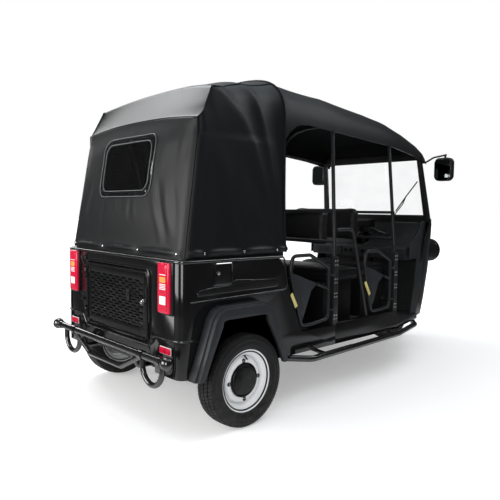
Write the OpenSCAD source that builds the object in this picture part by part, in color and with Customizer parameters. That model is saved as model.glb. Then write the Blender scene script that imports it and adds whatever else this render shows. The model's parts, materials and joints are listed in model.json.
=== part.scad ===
// Three-wheeled passenger rickshaw with three seat rows, a soft hood and tube half doors.
// X is the vehicle's right side, Y is forward and Z is up, all in millimetres.
// Lengths along the vehicle are measured from the rear axle, then centred on the whole.

/* [Wheels] */
// Distance between the axles
wheelbase = 2380; // [2350:5:2410]
// Distance between the rear tyre centres
track = 1274; // [1264:2:1284]
// Radius of each tyre over its tread
tyre_r = 250; // [246:1:254]
// Width of each tyre over its sidewalls
tyre_w = 132; // [124:2:136]
// Thickness of the tyre carcass
tyre_wall = 9; // [7:1:11]
// Radius of the rim where the tyre bead sits
rim_r = 152; // [148:1:156]
// Half the width between the rim flanges
rim_hw = 48; // [45:1:51]
// Height of the rim flange over the bead seat
rim_lip = 15; // [12:1:17]
// Thickness of the pressed wheel steel
rim_t = 4; // [3:0.5:5]
// Radius of the circle of wheel bolts
bolt_circle_r = 50; // [47:1:53]
// Radius of each wheel bolt hole
bolt_hole_r = 6; // [5:0.5:7]
// Radius of the circle of vent holes
vent_circle_r = 112; // [108:1:116]
// Radius of each vent hole
vent_r = 12; // [9:1:14]
// Radius of the rear stub axles
stub_r = 18; // [16:1:20]
// Radius of the front wheel spindle
spindle_r = 10; // [8:1:12]
// Radial room between an axle and its hub bore
hub_fit = 0.1; // [0.05:0.01:0.1]
// Radius of the brake drums
drum_r = 98; // [90:1:104]
// Radius of the moulded hub caps
cap_r = 86; // [80:1:92]

/* [Body] */
// Half the width over the body sides
body_hw = 630; // [624:1:636]
// Radius of the rear body corners
corner_r = 55; // [48:1:60]
// Distance of the rear panel behind the rear axle
rear_y = 385; // [378:1:392]
// Height of the bottom edge of the body
hem_z = 306; // [302:1:310]
// Height of the waist line
waist_z = 900; // [894:1:906]
// Thickness of the body sheet over its folds
skin = 4; // [3:0.5:5]
// Width of the folded edges of the body sheet
fold_w = 30; // [24:1:36]
// Height of the door sills
sill_z = 432; // [426:1:438]
// Height of the floor
floor_z = 345; // [342:1:350]
// Thickness of the floor plate
floor_t = 4; // [3:0.5:6]
// Distance of the middle posts ahead of the rear axle
post1_y = 815; // [808:1:822]
// Distance of the front posts ahead of the rear axle
post2_y = 1500; // [1492:1:1508]
// Width of the lower channel posts along the vehicle
post_w = 46; // [42:1:50]
// Depth of the lower channel posts across the vehicle
post_d = 30; // [26:1:34]
// Height of the lower channel posts
post_top_z = 866; // [850:1:880]
// Radius of the upper post tubes
post_r = 12; // [10:1:14]
// How far the wheel arch mouldings stand out from the body
flare_out = 78; // [72:1:82]
// Width of the face of the wheel arch mouldings
flare_w = 52; // [44:1:60]
// Room between a tyre and its wheelhouse
arch_gap = 42; // [34:1:46]
// Length of the rear door
door_w = 684; // [676:2:692]
// Height of the rear door
door_h = 372; // [364:2:380]
// Room around each door
door_gap = 6; // [5.5:0.5:8]
// Length of each slot in the rear door
slot_l = 46; // [36:1:50]
// Height of each slot in the rear door
slot_h = 6.5; // [5:0.5:8]

/* [Steering] */
// Slope of the steering axis from the vertical
rake = 26; // [24:0.5:28]
// Distance of the front axle ahead of the steering axis
fork_offset = 67; // [62:1:72]
// Radius of the steering column
column_r = 17; // [15:1:19]
// Room between a tyre and its mudguard
guard_gap = 27; // [24:1:32]
// Half the width over the handlebar grips
bar_hw = 330; // [310:5:345]

/* [Hood] */
// Thickness of the hood and roof fabric
cloth = 6; // [5:1:8]
// Radius of the hood bows and roof tubes
bow_r = 10; // [8:1:12]
// Half the width of the clear rear window
window_hw = 245; // [235:5:255]

/* [Cabin] */
// Height of the seat bases
seat_z = 655; // [645:5:665]
// Thickness of the seat cushions
cushion_t = 95; // [85:5:105]
// Thickness of the backrests
back_t = 75; // [65:5:85]
// Radius of the bumper and step rail tubes
rail_r = 19; // [17:1:21]

/* [Hidden] */
$fn = 48;
touch = 0.3;
slope = [0, -sin(rake), cos(rake)];
axis_pt = [0, wheelbase - fork_offset * cos(rake), tyre_r - fork_offset * sin(rake)];
guard_t = 3;
guard_r = tyre_r + guard_gap;
front_y = wheelbase + guard_r + guard_t;
bumper_y = rear_y + 70;
bumper_z = 408;
ball_r = 34;
back_y = bumper_y + ball_r;
mid_y = (front_y - back_y) / 2;
inner_hw = body_hw - skin;
seam_hw = body_hw - corner_r;
floor_b = floor_z - floor_t;
rail_x = 295;
rail_w = 50;
rail_h = 40;
post_x = inner_hw - post_d;
// front of the cabin: foot wall, windshield foot and side rail ends, from the front axle
wall_y = wheelbase - 334;
shield_y = wheelbase - 275;
// foremost bow of the hood
hood_y = 350;

// helpers
function unit(v) = v / norm(v);
function turn(a, b, c) = acos(max(-1, min(1, unit(b - a) * unit(c - b))));
function back(p) = [for (i = [len(p) - 1:-1:0]) p[i]];

module vehicle() {
    translate([0, -mid_y, 0])
        children();
}

module both() {
    children();
    mirror([1, 0, 0])
        children();
}

// round bar between two points
module rod(a, b, r) {
    z = unit(b - a);
    h = abs(z[2]) < 0.9 ? [0, 0, 1] : [0, 1, 0];
    x = unit(cross(h, z));
    y = cross(z, x);
    multmatrix([[x[0], y[0], z[0], a[0]], [x[1], y[1], z[1], a[1]], [x[2], y[2], z[2], a[2]]])
        cylinder(h = norm(b - a), r = r);
}

// points along a bend at b, between the runs from a and to c
function bend_pts(a, b, c, bend, k) =
    let (t = turn(a, b, c), d1 = unit(b - a), d2 = unit(c - b))
    t < 0.5 ? [b] :
    let (n = unit(cross(d1, d2)), x = unit(cross(d1, n)), o = b - d1 * bend * tan(t / 2) - x * bend)
    [for (i = [0:k]) o + (x * cos(t * i / k) + d1 * sin(t * i / k)) * bend];

function route(p, bend, k) = concat([p[0]],
    [for (i = [1:len(p) - 2]) each bend_pts(p[i - 1], p[i], p[i + 1], bend, k)], [p[len(p) - 1]]);

function closed_route(p, bend, k) = let (n = len(p))
    [for (i = [0:n - 1]) each bend_pts(p[(i + n - 1) % n], p[i], p[(i + 1) % n], bend, k)];

// ring of points round c, square to t, with h as a direction t never takes
function ring_at(c, t, h, r, m) = let (x = unit(cross(h, t)), y = cross(t, x))
    [for (j = [0:m - 1]) c + r * (x * cos(j * 360 / m) + y * sin(j * 360 / m))];

function tangent(q, i, j, k) = unit(unit(q[j] - q[i]) + unit(q[k] - q[j]));

// closed skin through rings of points that run the left-hand way round the direction of travel
module loft(rings) {
    n = len(rings[0]);
    m = len(rings);
    half = floor(n / 2);
    pts = [for (r = rings) each r];
    e = (m - 1) * n;
    sides = [for (i = [0:m - 2]) for (j = [0:n - 1]) each [
        [i * n + j, i * n + (j + 1) % n, (i + 1) * n + j],
        [i * n + (j + 1) % n, (i + 1) * n + (j + 1) % n, (i + 1) * n + j]]];
    first = [for (i = [0:half - 2]) each [[i + 1, i, n - 1 - i], [i + 1, n - 1 - i, n - 2 - i]]];
    last = [for (f = first) [e + f[0], e + f[2], e + f[1]]];
    mid = n % 2 == 1 ? [[half, half - 1, half + 1], [e + half, e + half + 1, e + half - 1]] : [];
    polyhedron(points = pts, faces = concat(sides, first, last, mid), convexity = 8);
}

// tube along a list of points, with h as a direction it never takes
module sweep(q, r, h, m = 12) {
    n = len(q);
    loft([for (i = [0:n - 1]) back(ring_at(q[i],
        i == 0 ? unit(q[1] - q[0]) : i == n - 1 ? unit(q[n - 1] - q[n - 2]) : tangent(q, i - 1, i, i + 1),
        h, r, m))]);
}

// tube through a list of points with round bends
module bent(p, r, bend, h, m = 12) {
    sweep(route(p, bend, 3), r, h, m);
}

// closed loop of tube through a list of points
module loop(p, r, bend, h, m = 12) {
    q = closed_route(p, bend, 3);
    n = len(q);
    pts = [for (i = [0:n - 1])
        each back(ring_at(q[i], tangent(q, (i + n - 1) % n, i, (i + 1) % n), h, r, m))];
    polyhedron(points = pts, faces = [for (i = [0:n - 1]) for (j = [0:m - 1])
        let (k = (i + 1) % n, l = (j + 1) % m, a = i * m + j, b = i * m + l, c = k * m + j, d = k * m + l)
        each [[a, b, c], [b, d, c]]], convexity = 8);
}

// flat plate from a side outline of y and z points, between two distances across
module side_plate(outline, x0, x1) {
    translate([x0, 0, 0])
        rotate([90, 0, 90])
            linear_extrude(height = x1 - x0)
                polygon(outline);
}

// plate of a front outline of x and z points, between two distances along
module front_plate(y0, y1) {
    translate([0, y1, 0])
        rotate([90, 0, 0])
            linear_extrude(height = y1 - y0)
                children();
}

module round_box(size, r) {
    translate([r, r])
        square([size[0] - 2 * r, size[1] - 2 * r]);
    translate([0, r])
        square([size[0], size[1] - 2 * r]);
    translate([r, 0])
        square([size[0] - 2 * r, size[1]]);
    for (x = [r, size[0] - r], y = [r, size[1] - r])
        translate([x, y])
            circle(r = r);
}

// wheels
module wheel_turned() {
    rotate([0, 90, 0])
        rotate_extrude($fn = 64)
            children();
}

tyre_half = [
    [rim_r, rim_hw - 14],
    [rim_r, rim_hw],
    [rim_r + rim_lip, rim_hw],
    [rim_r + rim_lip + 12, rim_hw + 9],
    [(rim_r + tyre_r) / 2 + 4, tyre_w / 2],
    [tyre_r - 24, tyre_w / 2 - 5],
    [tyre_r - 9, tyre_w / 2 - 13],
    [tyre_r - 2, tyre_w / 2 - 24],
    [tyre_r, 0]];
tyre_in = [
    [tyre_r - tyre_wall, 0],
    [tyre_r - tyre_wall - 3, tyre_w / 2 - 26],
    [tyre_r - 26 - tyre_wall / 2, tyre_w / 2 - 5 - tyre_wall],
    [(rim_r + tyre_r) / 2 + 4, tyre_w / 2 - tyre_wall],
    [rim_r + rim_lip + 10, rim_hw - 3]];

module tyre() {
    n = len(tyre_in);
    m = len(tyre_half);
    wheel_turned()
        polygon(concat(tyre_half, [for (i = [m - 2:-1:0]) [tyre_half[i][0], -tyre_half[i][1]]],
            [for (i = [n - 1:-1:0]) [tyre_in[i][0], -tyre_in[i][1]]], [for (i = [1:n - 1]) tyre_in[i]]));
}

// rim section, with the disc at the distance given from the middle
module rim_section(disc) {
    lip = rim_r + rim_lip;
    well = rim_r - 22;
    polygon([
        [lip, -rim_hw - rim_t], [lip, -rim_hw], [rim_r, -rim_hw], [rim_r, -rim_hw + 18],
        [well, -rim_hw + 28], [well, rim_hw - 34], [rim_r, rim_hw - 20], [rim_r, rim_hw],
        [lip, rim_hw], [lip, rim_hw + rim_t], [rim_r - rim_t, rim_hw + rim_t],
        [rim_r - rim_t, rim_hw - 18], [well - rim_t, rim_hw - 32],
        [well - rim_t, -rim_hw + 26], [rim_r - rim_t, -rim_hw + 16], [rim_r - rim_t, -rim_hw - rim_t]]);
    polygon([
        [well - rim_t + 1, disc - 8], [well - rim_t + 1, disc + 4], [vent_circle_r - 12, disc + 12],
        [bolt_circle_r + 26, disc + 2], [bolt_circle_r + 18, disc - 4], [stub_r + 10, disc - 4],
        [stub_r + 10, disc - 10], [bolt_circle_r + 20, disc - 10],
        [bolt_circle_r + 28, disc - 4], [vent_circle_r - 12, disc + 5]]);
}

module rim(disc) {
    difference() {
        wheel_turned()
            rim_section(disc);
        for (k = [0:7])
            rotate([k * 45 + 22.5, 0, 0])
                translate([disc - 30, 0, vent_circle_r - 2])
                    rotate([0, 90, 0])
                        cylinder(h = 60, r = vent_r);
        for (k = [0:3])
            rotate([k * 90 + 45, 0, 0])
                translate([disc - 30, 0, bolt_circle_r])
                    rotate([0, 90, 0])
                        cylinder(h = 60, r = bolt_hole_r);
    }
}

// hub and brake drum turned in one piece, bored for its axle
module hub(bore, disc, inner, drum) {
    wheel_turned()
        difference() {
            union() {
                translate([0, inner])
                    square([bore + 16, disc - 4 - inner]);
                translate([0, disc - 22])
                    square([bolt_circle_r + 16, 12]);
                translate([0, inner + 42])
                    square([drum, 8]);
                translate([drum - 7, inner])
                    square([7, 50]);
            }
            translate([-1, inner - 1])
                square([bore + 1, disc - inner + 20]);
        }
}

module rear_wheel_place() {
    translate([track / 2, 0, tyre_r])
        children();
}

drum_in = -98;
rear_disc = 20;
cap_z = 26;
cap_seat = 60;
module rear_rim() {
    rear_wheel_place() {
        rim(rear_disc);
        hub(stub_r + hub_fit, rear_disc, drum_in, drum_r);
    }
}

module cap() {
    wheel_turned()
        polygon([[0, cap_z + 4], [cap_seat, cap_z + 4], [cap_seat, rear_disc - 4],
            [cap_seat + 5, rear_disc - 4], [cap_seat + 5, cap_z], [cap_r - 4, cap_z],
            [cap_r, cap_z + 4], [cap_r - 8, cap_z + 24], [cap_r - 34, cap_z + 32], [0, cap_z + 34]]);
}

module tyre_right() {
    color([0.08, 0.08, 0.08])
        rear_wheel_place()
            tyre();
}

module tyre_left() {
    color([0.08, 0.08, 0.08])
        mirror([1, 0, 0])
            rear_wheel_place()
                tyre();
}

module rim_right() {
    color([0.85, 0.86, 0.87])
        rear_rim();
}

module rim_left() {
    color([0.85, 0.86, 0.87])
        mirror([1, 0, 0])
            rear_rim();
}

module cap_right() {
    color([0.05, 0.05, 0.05])
        rear_wheel_place()
            cap();
}

module cap_left() {
    color([0.05, 0.05, 0.05])
        mirror([1, 0, 0])
            rear_wheel_place()
                cap();
}

// steering, in the frame of its axis: Z up along the axis and Y forward
module on_axis() {
    translate(axis_pt)
        rotate([rake, 0, 0])
            children();
}

leg_x = tyre_w / 2 + 36;
crown_t = guard_r + guard_t + 8;
head_t0 = 475;
head_t1 = 610;
bar_t = 880;
front_disc = 10;
front_hub = leg_x - 20;

module tyre_front() {
    color([0.08, 0.08, 0.08])
        translate([0, wheelbase, tyre_r])
            tyre();
}

module rim_front() {
    color([0.85, 0.86, 0.87])
        translate([0, wheelbase, tyre_r]) {
            rim(front_disc);
            hub(spindle_r + hub_fit, front_disc, -front_hub + 6, drum_r - 14);
            wheel_turned()
                translate([spindle_r + hub_fit, front_disc - 12])
                    square([16, front_hub - front_disc + 6]);
        }
}

module fork() {
    color([0.1, 0.1, 0.1])
        on_axis() {
            for (s = [-1, 1]) {
                translate([s * leg_x, fork_offset, -30])
                    cylinder(h = 200, r = 17);
                translate([s * leg_x, fork_offset, 170])
                    cylinder(h = crown_t - 170, r = 13);
            }
            translate([-leg_x - 20, -30, crown_t])
                cube([2 * leg_x + 40, fork_offset + 52, 22]);
            translate([0, 0, crown_t + 22])
                cylinder(h = bar_t - crown_t - 22 - 20, r = column_r);
            translate([-leg_x, fork_offset, 0])
                rotate([0, 90, 0])
                    cylinder(h = 2 * leg_x, r = spindle_r);
        }
}

module handlebar() {
    color([0.12, 0.12, 0.12])
        on_axis() {
            translate([-22, -22, bar_t - 20])
                cube([44, 44, 20]);
            bent([[-bar_hw, -95, bar_t + 5], [-150, -20, bar_t + 14], [150, -20, bar_t + 14],
                [bar_hw, -95, bar_t + 5]], 11, 60, [0, 0, 1]);
            for (s = [-1, 1])
                rod([s * (bar_hw - 120), -95 + 120 * 0.385, bar_t + 5.7], [s * bar_hw, -95, bar_t + 5], 17);
            translate([-22, -32, bar_t])
                cube([44, 30, 26]);
            translate([-85, -2, bar_t])
                rotate([-12, 0, 0])
                    linear_extrude(height = 62)
                        round_box([170, 96], 20);
        }
}

module front_guard() {
    color([0.06, 0.06, 0.06]) {
        translate([0, wheelbase, tyre_r])
            rotate([0, 90, 0])
                rotate([0, 0, 92])
                    rotate_extrude($fn = 72, angle = 152) {
                        translate([guard_r, -76])
                            square([guard_t, 152]);
                        for (s = [-76, 73])
                            translate([guard_r - 26, s])
                                square([28, 3]);
                    }
        on_axis()
            translate([-30, fork_offset - 25, guard_r])
                cube([60, 50, guard_t + 8]);
    }
}

// structure under the body
tower_t = 30;
damper_x = 430;
damper_y = 5;
tower_z = 541;
module chassis() {
    y0 = -rear_y + 55;
    y1 = wheelbase - 440;
    b = floor_b - rail_h;
    neck_y = wheelbase - 308;
    color([0.09, 0.09, 0.1])
        union() {
            both()
                translate([rail_x - rail_w / 2, y0, b])
                    cube([rail_w, y1 - y0, rail_h]);
            for (y = [y0, 300, 720, 1180, y1 - 40])
                translate([-rail_x, y, b + 5])
                    cube([2 * rail_x, 40, rail_h - 5]);
            both()
                for (y = [440, post1_y - 20, post2_y - 20])
                    translate([rail_x, y, b + 10])
                        cube([inner_hw - rail_x, 40, rail_h - 10]);
            both()
                translate([rail_x - 20, y1 - 30, b + 10])
                    cube([120, 30, rail_h - 10]);
            translate([-25, y1 - 10, b])
                cube([50, neck_y + 18 - y1 + 10, rail_h]);
            difference() {
                union() {
                    on_axis()
                        translate([0, 0, head_t0])
                            cylinder(h = head_t1 - head_t0, r = column_r + 10);
                    rod([0, neck_y, b + 20], axis_pt + slope * (head_t0 + 50) - [0, 12, 0], 17);
                }
                on_axis()
                    translate([0, 0, head_t0 - 200])
                        cylinder(h = head_t1 - head_t0 + 400, r = column_r + hub_fit);
            }
            // damper towers
            both()
                translate([rail_x - tower_t / 2, damper_y - 20, floor_b])
                    cube([tower_t, 40, tower_z - tower_t - floor_b]);
            translate([-damper_x - 20, damper_y - 20, tower_z - tower_t])
                cube([2 * damper_x + 40, 40, tower_t]);
        }
}

arm_x = 400;
arm_y = 470;
plate_x = track / 2 + drum_in - 7;
module rear_axle() {
    color([0.13, 0.13, 0.14])
        translate([0, 0, tyre_r]) {
            translate([-plate_x, 0, 0])
                rotate([0, 90, 0])
                    cylinder(h = 2 * plate_x, r = 30);
            for (s = [-1, 1]) {
                translate([s * (plate_x - 4) - 4, 0, 0])
                    rotate([0, 90, 0])
                        cylinder(h = 8, r = drum_r + 4);
                translate([s > 0 ? plate_x - 20 : -track / 2 - 6, 0, 0])
                    rotate([0, 90, 0])
                        cylinder(h = track / 2 + 26 - plate_x, r = stub_r);
                translate([s * arm_x - 25, -20, -44])
                    cube([50, 40, 30]);
                translate([s * damper_x - 20, damper_y - 20, 12])
                    cube([40, 40, 28]);
            }
            translate([-40, 60, -45])
                cube([80, 40, 90]);
            translate([-60, 0, 0])
                rotate([0, 90, 0])
                    cylinder(h = 120, r = 88);
            translate([60, 0, 0])
                rotate([0, 90, 0])
                    cylinder(h = 30, r1 = 78, r2 = 44);
            translate([-90, 0, 0])
                rotate([0, 90, 0])
                    cylinder(h = 30, r1 = 44, r2 = 78);
        }
}

module motor() {
    color([0.3, 0.31, 0.32]) {
        translate([-80, 190, tyre_r])
            rotate([0, 90, 0])
                cylinder(h = 230, r = 76);
        translate([-40, 100, tyre_r - 45])
            cube([80, 50, 90]);
    }
}

module trailing_arms() {
    pivot_z = floor_b - rail_h - 24;
    color([0.1, 0.1, 0.1])
        both() {
            rod([arm_x, 8, tyre_r - 64], [rail_x + 40, arm_y, pivot_z], 18);
            translate([rail_x + 14, arm_y, pivot_z])
                rotate([0, 90, 0])
                    cylinder(h = 52, r = 22);
            translate([rail_x - 18, arm_y - 20, pivot_z - 20])
                cube([36, 40, 44]);
            translate([arm_x - 25, -18, tyre_r - 44 - 34])
                cube([50, 60, 34]);
        }
}

module dampers() {
    low = tyre_r + 40;
    color([0.12, 0.12, 0.13])
        both()
            translate([damper_x, damper_y, low]) {
                cylinder(h = tower_z - tower_t - low, r = 11);
                translate([0, 0, 40])
                    cylinder(h = 160, r = 30);
            }
}

// floor plan: half outline from the rear seat box to the nose
nose_y = wall_y - 43;
floor_y = 330;
wall_in = 188;
function floor_half(x) =
    [[x, floor_y], [x, post2_y + post_w / 2], [x - 118, nose_y], [inner_hw - wall_in + 4, nose_y],
        [inner_hw - wall_in, wall_y + floor_t]];

module floor_pan() {
    p = floor_half(inner_hw);
    color([0.15, 0.16, 0.17])
        difference() {
            union() {
                translate([0, 0, floor_b])
                    linear_extrude(height = floor_t)
                        polygon(concat(p, [for (i = [len(p) - 1:-1:0]) [-p[i][0], p[i][1]]]));
                front_plate(wall_y, wall_y + floor_t)
                    polygon([[-inner_hw + wall_in, floor_b], [inner_hw - wall_in, floor_b],
                        [dash_hw, dash_z], [-dash_hw, dash_z]]);
            }
            on_axis()
                translate([0, 0, 500])
                    cylinder(h = 300, r = 60);
        }
}

// body sides
arch_out = [[-345, hem_z - 1], [-300, 420], [-236, 605], [-205, 646], [-160, 662],
    [120, 662], [165, 646], [195, 606], [270, 420], [318, hem_z - 1]];
arch_in = [[-345 + flare_w, hem_z - 2], [-300 + flare_w + 3, 420], [-236 + flare_w + 6, 565],
    [-174, 590], [-150, 596], [112, 596], [138, 588], [195 - flare_w - 6 + 2, 562],
    [270 - flare_w - 1, 420], [318 - flare_w + 2, hem_z - 2]];

module quarter_side() {
    edge = post1_y - 1;
    difference() {
        side_plate([[-rear_y + corner_r, hem_z], [edge, hem_z], [edge, sill_z], [510, sill_z],
            [492, sill_z + 6], [480, sill_z + 22], [340, 800], [322, 850], [305, waist_z - 28],
            [282, waist_z - 10], [250, waist_z], [-rear_y + corner_r, waist_z]], inner_hw, body_hw);
        side_plate(arch_in, inner_hw - 60, body_hw + 60);
        children();
    }
}

module quarters_half() {
    z0 = hem_z;
    h = waist_z - hem_z;
    // corner
    translate([seam_hw, -rear_y + corner_r, z0])
        rotate([0, 0, -90])
            rotate_extrude(angle = 90, $fn = 64)
                translate([corner_r - skin, 0])
                    square([skin, h]);
    // folded waist edge
    translate([inner_hw - fold_w, -rear_y + corner_r, waist_z - skin])
        cube([fold_w, rear_y - corner_r + 250, skin]);
    // folded edge of the door opening
    side_plate([[480, sill_z + 22], [340, 800], [322, 850], [316, 850], [334, 800], [474, sill_z + 20]],
        inner_hw - fold_w, inner_hw);
    translate([inner_hw - fold_w, 510, sill_z - skin])
        cube([fold_w, post1_y - post_w / 2 - 510, skin]);
    // rail that the hem of the hood snaps to
    translate([inner_hw - fold_w, -rear_y + 125, waist_z - skin])
        cube([skin, rear_y + 115, skin + hem_rail]);
    // raised pressings
    translate([body_hw, -150, 690])
        cube([3, 455, 8]);
    translate([body_hw, -20, 772])
        cube([3, 280, 8]);
}

hem_rail = 48;
flap_y = [-178, -62];
flap_z = [768, 874];
flap_pin = [body_hw + 4, flap_y[1] + 1];
module quarters() {
    color([0.05, 0.05, 0.055]) {
        quarters_half();
        // pins of the filler flap
        for (z = [flap_z[0] + 4, flap_z[1] - 12])
            translate([flap_pin[0], flap_pin[1], z]) {
                cylinder(h = 8, r = 2);
                translate([-4, -2, z < 800 ? -4 : 8])
                    cube([4, 18, 4]);
            }
        quarter_side()
            translate([inner_hw - 5, flap_y[0] - door_gap, flap_z[0] - door_gap])
                cube([skin + 10, flap_y[1] - flap_y[0] + 2 * door_gap,
                    flap_z[1] - flap_z[0] + 2 * door_gap]);
        mirror([1, 0, 0]) {
            quarters_half();
            quarter_side();
        }
    }
}

module filler_flap() {
    color([0.06, 0.06, 0.065]) {
        translate([inner_hw, flap_y[0], flap_z[0]])
            cube([skin, flap_y[1] - flap_y[0], flap_z[1] - flap_z[0]]);
        translate([body_hw, flap_y[0] + 22, (flap_z[0] + flap_z[1]) / 2])
            rotate([0, 90, 0])
                cylinder(h = 6, r = 11);
        difference() {
            union() {
                translate([flap_pin[0], flap_pin[1], flap_z[0] + 5])
                    cylinder(h = flap_z[1] - flap_z[0] - 10, r = 4);
                translate([inner_hw + 1, flap_pin[1] - 6, flap_z[0] + 5])
                    cube([flap_pin[0] - inner_hw - 1, 5, flap_z[1] - flap_z[0] - 10]);
            }
            translate([flap_pin[0], flap_pin[1], flap_z[0]])
                cylinder(h = 120, r = 2.1);
        }
    }
}

module flares() {
    n = len(arch_out);
    color([0.13, 0.13, 0.14])
        both()
            difference() {
                union() {
                    side_plate(arch_out, body_hw, body_hw + flare_out - 22);
                    side_plate([for (q = arch_out) [q[0] * 0.955, q[1] > 500 ? q[1] - 10 : q[1]]],
                        body_hw + flare_out - 22, body_hw + flare_out);
                }
                side_plate(arch_in, body_hw - 5, body_hw + flare_out + 5);
                side_plate([for (q = arch_out) [q[0] * 0.97, q[1] > 500 ? q[1] - 5 : q[1] - 5]],
                    body_hw - 1, body_hw + flare_out - 26);
            }
}

module wheelhouses() {
    r = tyre_r + arch_gap;
    x0 = track / 2 - tyre_w / 2 - 26;
    color([0.07, 0.07, 0.07])
        both()
            intersection() {
                translate([x0, 0, tyre_r])
                    rotate([0, 90, 0])
                        difference() {
                            cylinder(h = inner_hw - x0, r = r, $fn = 72);
                            translate([0, 0, 3])
                                cylinder(h = inner_hw - x0, r = r - 3, $fn = 72);
                            translate([0, 0, -1])
                                cylinder(h = 10, r = drum_r + 22);
                        }
                translate([x0 - 5, -r - 5, floor_b])
                    cube([inner_hw - x0 + 5, 2 * r + 10, 400]);
            }
}

module sills() {
    p = floor_half(inner_hw);
    color([0.05, 0.05, 0.055])
        both() {
            translate([0, 0, hem_z])
                linear_extrude(height = floor_z + 3 - hem_z)
                    polygon([p[1], p[2], p[2] + [5, 0], p[1] + [skin, 0]]);
            y0 = post1_y + 1;
            y1 = post2_y + post_w / 2;
            translate([inner_hw, y0, hem_z])
                cube([skin, y1 - y0, sill_z + 10 - hem_z]);
            translate([inner_hw - fold_w, y0 + post_w, sill_z + 10 - skin])
                cube([fold_w, y1 - y0 - 2 * post_w, skin]);
        }
}

// rear face
door_z = 455;
tail_pin = [-door_w / 2 - 9, -rear_y - 12];
tail_hinges = [door_z + 40, door_z + door_h - 90];
module rear_panel() {
    color([0.05, 0.05, 0.055])
        difference() {
            union() {
                front_plate(-rear_y, -rear_y + skin)
                    translate([-seam_hw, hem_z])
                        square([2 * seam_hw, waist_z - hem_z]);
                translate([-seam_hw, -rear_y + skin, waist_z - skin])
                    cube([2 * seam_hw, 2 * fold_w, skin]);
                translate([-seam_hw + 15, -rear_y + 42, waist_z - skin])
                    cube([2 * seam_hw - 30, skin, skin + hem_rail]);
                translate([-seam_hw, -rear_y - 3, 497])
                    cube([seam_hw - 400, 3, 8]);
                translate([400, -rear_y - 3, 497])
                    cube([seam_hw - 400, 3, 8]);
                translate([-door_w / 2 + 10, -rear_y - 3, 436])
                    cube([door_w - 20, 3, 8]);
                // pins of the rear door
                for (z = tail_hinges) {
                    translate([tail_pin[0], tail_pin[1], z - 9])
                        cylinder(h = 68, r = 2.5);
                    for (e = [z - 9, z + 51])
                        translate([tail_pin[0] - 16, tail_pin[1] - 3, e])
                            cube([19, -rear_y - tail_pin[1] + 3, 8]);
                }
            }
            front_plate(-rear_y - 10, -rear_y + skin + 10)
                translate([-door_w / 2 - door_gap, door_z - door_gap])
                    round_box([door_w + 2 * door_gap, door_h + 2 * door_gap], 28);
            front_plate(-rear_y - 10, -rear_y + skin + 10)
                translate([-400, hem_z - 1])
                    square([800, 40]);
        }
}

module rear_door() {
    y0 = -rear_y - 4;
    color([0.07, 0.07, 0.075]) {
        difference() {
            union() {
                front_plate(y0, y0 + 6)
                    translate([-door_w / 2, door_z])
                        round_box([door_w, door_h], 22);
            }
            for (r = [0:16], c = [0:7])
                translate([-290 + c * 72 + (r % 2) * 36 + slot_h / 2, y0 - 1, door_z + 68 + r * 15.4]) {
                    rotate([-90, 0, 0])
                        cylinder(h = 10, r = slot_h / 2, $fn = 16);
                    translate([0, 0, -slot_h / 2])
                        cube([slot_l - slot_h, 10, slot_h]);
                    translate([slot_l - slot_h, 0, 0])
                        rotate([-90, 0, 0])
                            cylinder(h = 10, r = slot_h / 2, $fn = 16);
                }
        }
        for (z = tail_hinges)
            difference() {
                union() {
                    translate([tail_pin[0], tail_pin[1], z])
                        cylinder(h = 50, r = 5);
                    translate([tail_pin[0], tail_pin[1] - 1, z])
                        cube([20, y0 - tail_pin[1] + 2, 50]);
                }
                translate([tail_pin[0], tail_pin[1], z - 1])
                    cylinder(h = 52, r = 2.6);
            }
        translate([door_w / 2 - 45, y0 - 14, door_z + 205])
            rotate([-90, 0, 0])
                cylinder(h = 14, r = 16);
    }
}

lamp_x = 508;
module tail_lamps() {
    color([0.6, 0.04, 0.06])
        both() {
            translate([lamp_x - 50, -rear_y - 38, 620])
                linear_extrude(height = 265)
                    round_box([100, 38], 12);
            translate([lamp_x - 52, -rear_y - 12, 424])
                cube([104, 12, 34]);
        }
}

// posts, seat rails and roof frame
hinge_x = body_hw + 6;
hinge_h = 24;
hinge_z = [520, 740];
barrel_r = 7;
hinge_pin_r = 4;
function hinge_y(post) = post - post_w / 2 - barrel_r - 2;

module hinge_pins(post) {
    for (z = hinge_z) {
        translate([hinge_x, hinge_y(post), z - 5])
            cylinder(h = hinge_h + 10, r = hinge_pin_r);
        for (e = [z - 7, z + hinge_h + 1])
            translate([inner_hw, hinge_y(post) - 4, e])
                cube([hinge_x - inner_hw + 4, 21, 6]);
    }
}

// channel, tube and hinge pins of the post at y
module post(y) {
    r = row_at(y + 15);
    translate([post_x, y - post_w / 2, floor_z])
        cube([post_d, post_w, post_top_z - floor_z]);
    rod([post_x + 12, y, post_top_z - 2], [r[1] - rail_in, y + 15, r[2] + 6], post_r);
    hinge_pins(y);
}

module posts_middle() {
    latch_x = post_x + 10;
    color([0.12, 0.12, 0.13]) {
        both() {
            post(post1_y);
            bent([[latch_x, post1_y + 20, 1034], [latch_x, post1_y + 190, 1034],
                [latch_x + 4, post1_y + 353, sill_z + 13]], 11, 50, [1, 0, 0]);
        }
        for (z = [960, 1150])
            rod([-post_x - 4, post1_y + 4, z], [post_x + 4, post1_y + 4, z], 10);
    }
}

module posts_front() {
    color([0.12, 0.12, 0.13]) {
        both()
            post(post2_y);
        for (z = [960, 1148])
            rod([-post_x + 2, post2_y, z], [post_x - 2, post2_y, z], 10);
    }
}

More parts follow.
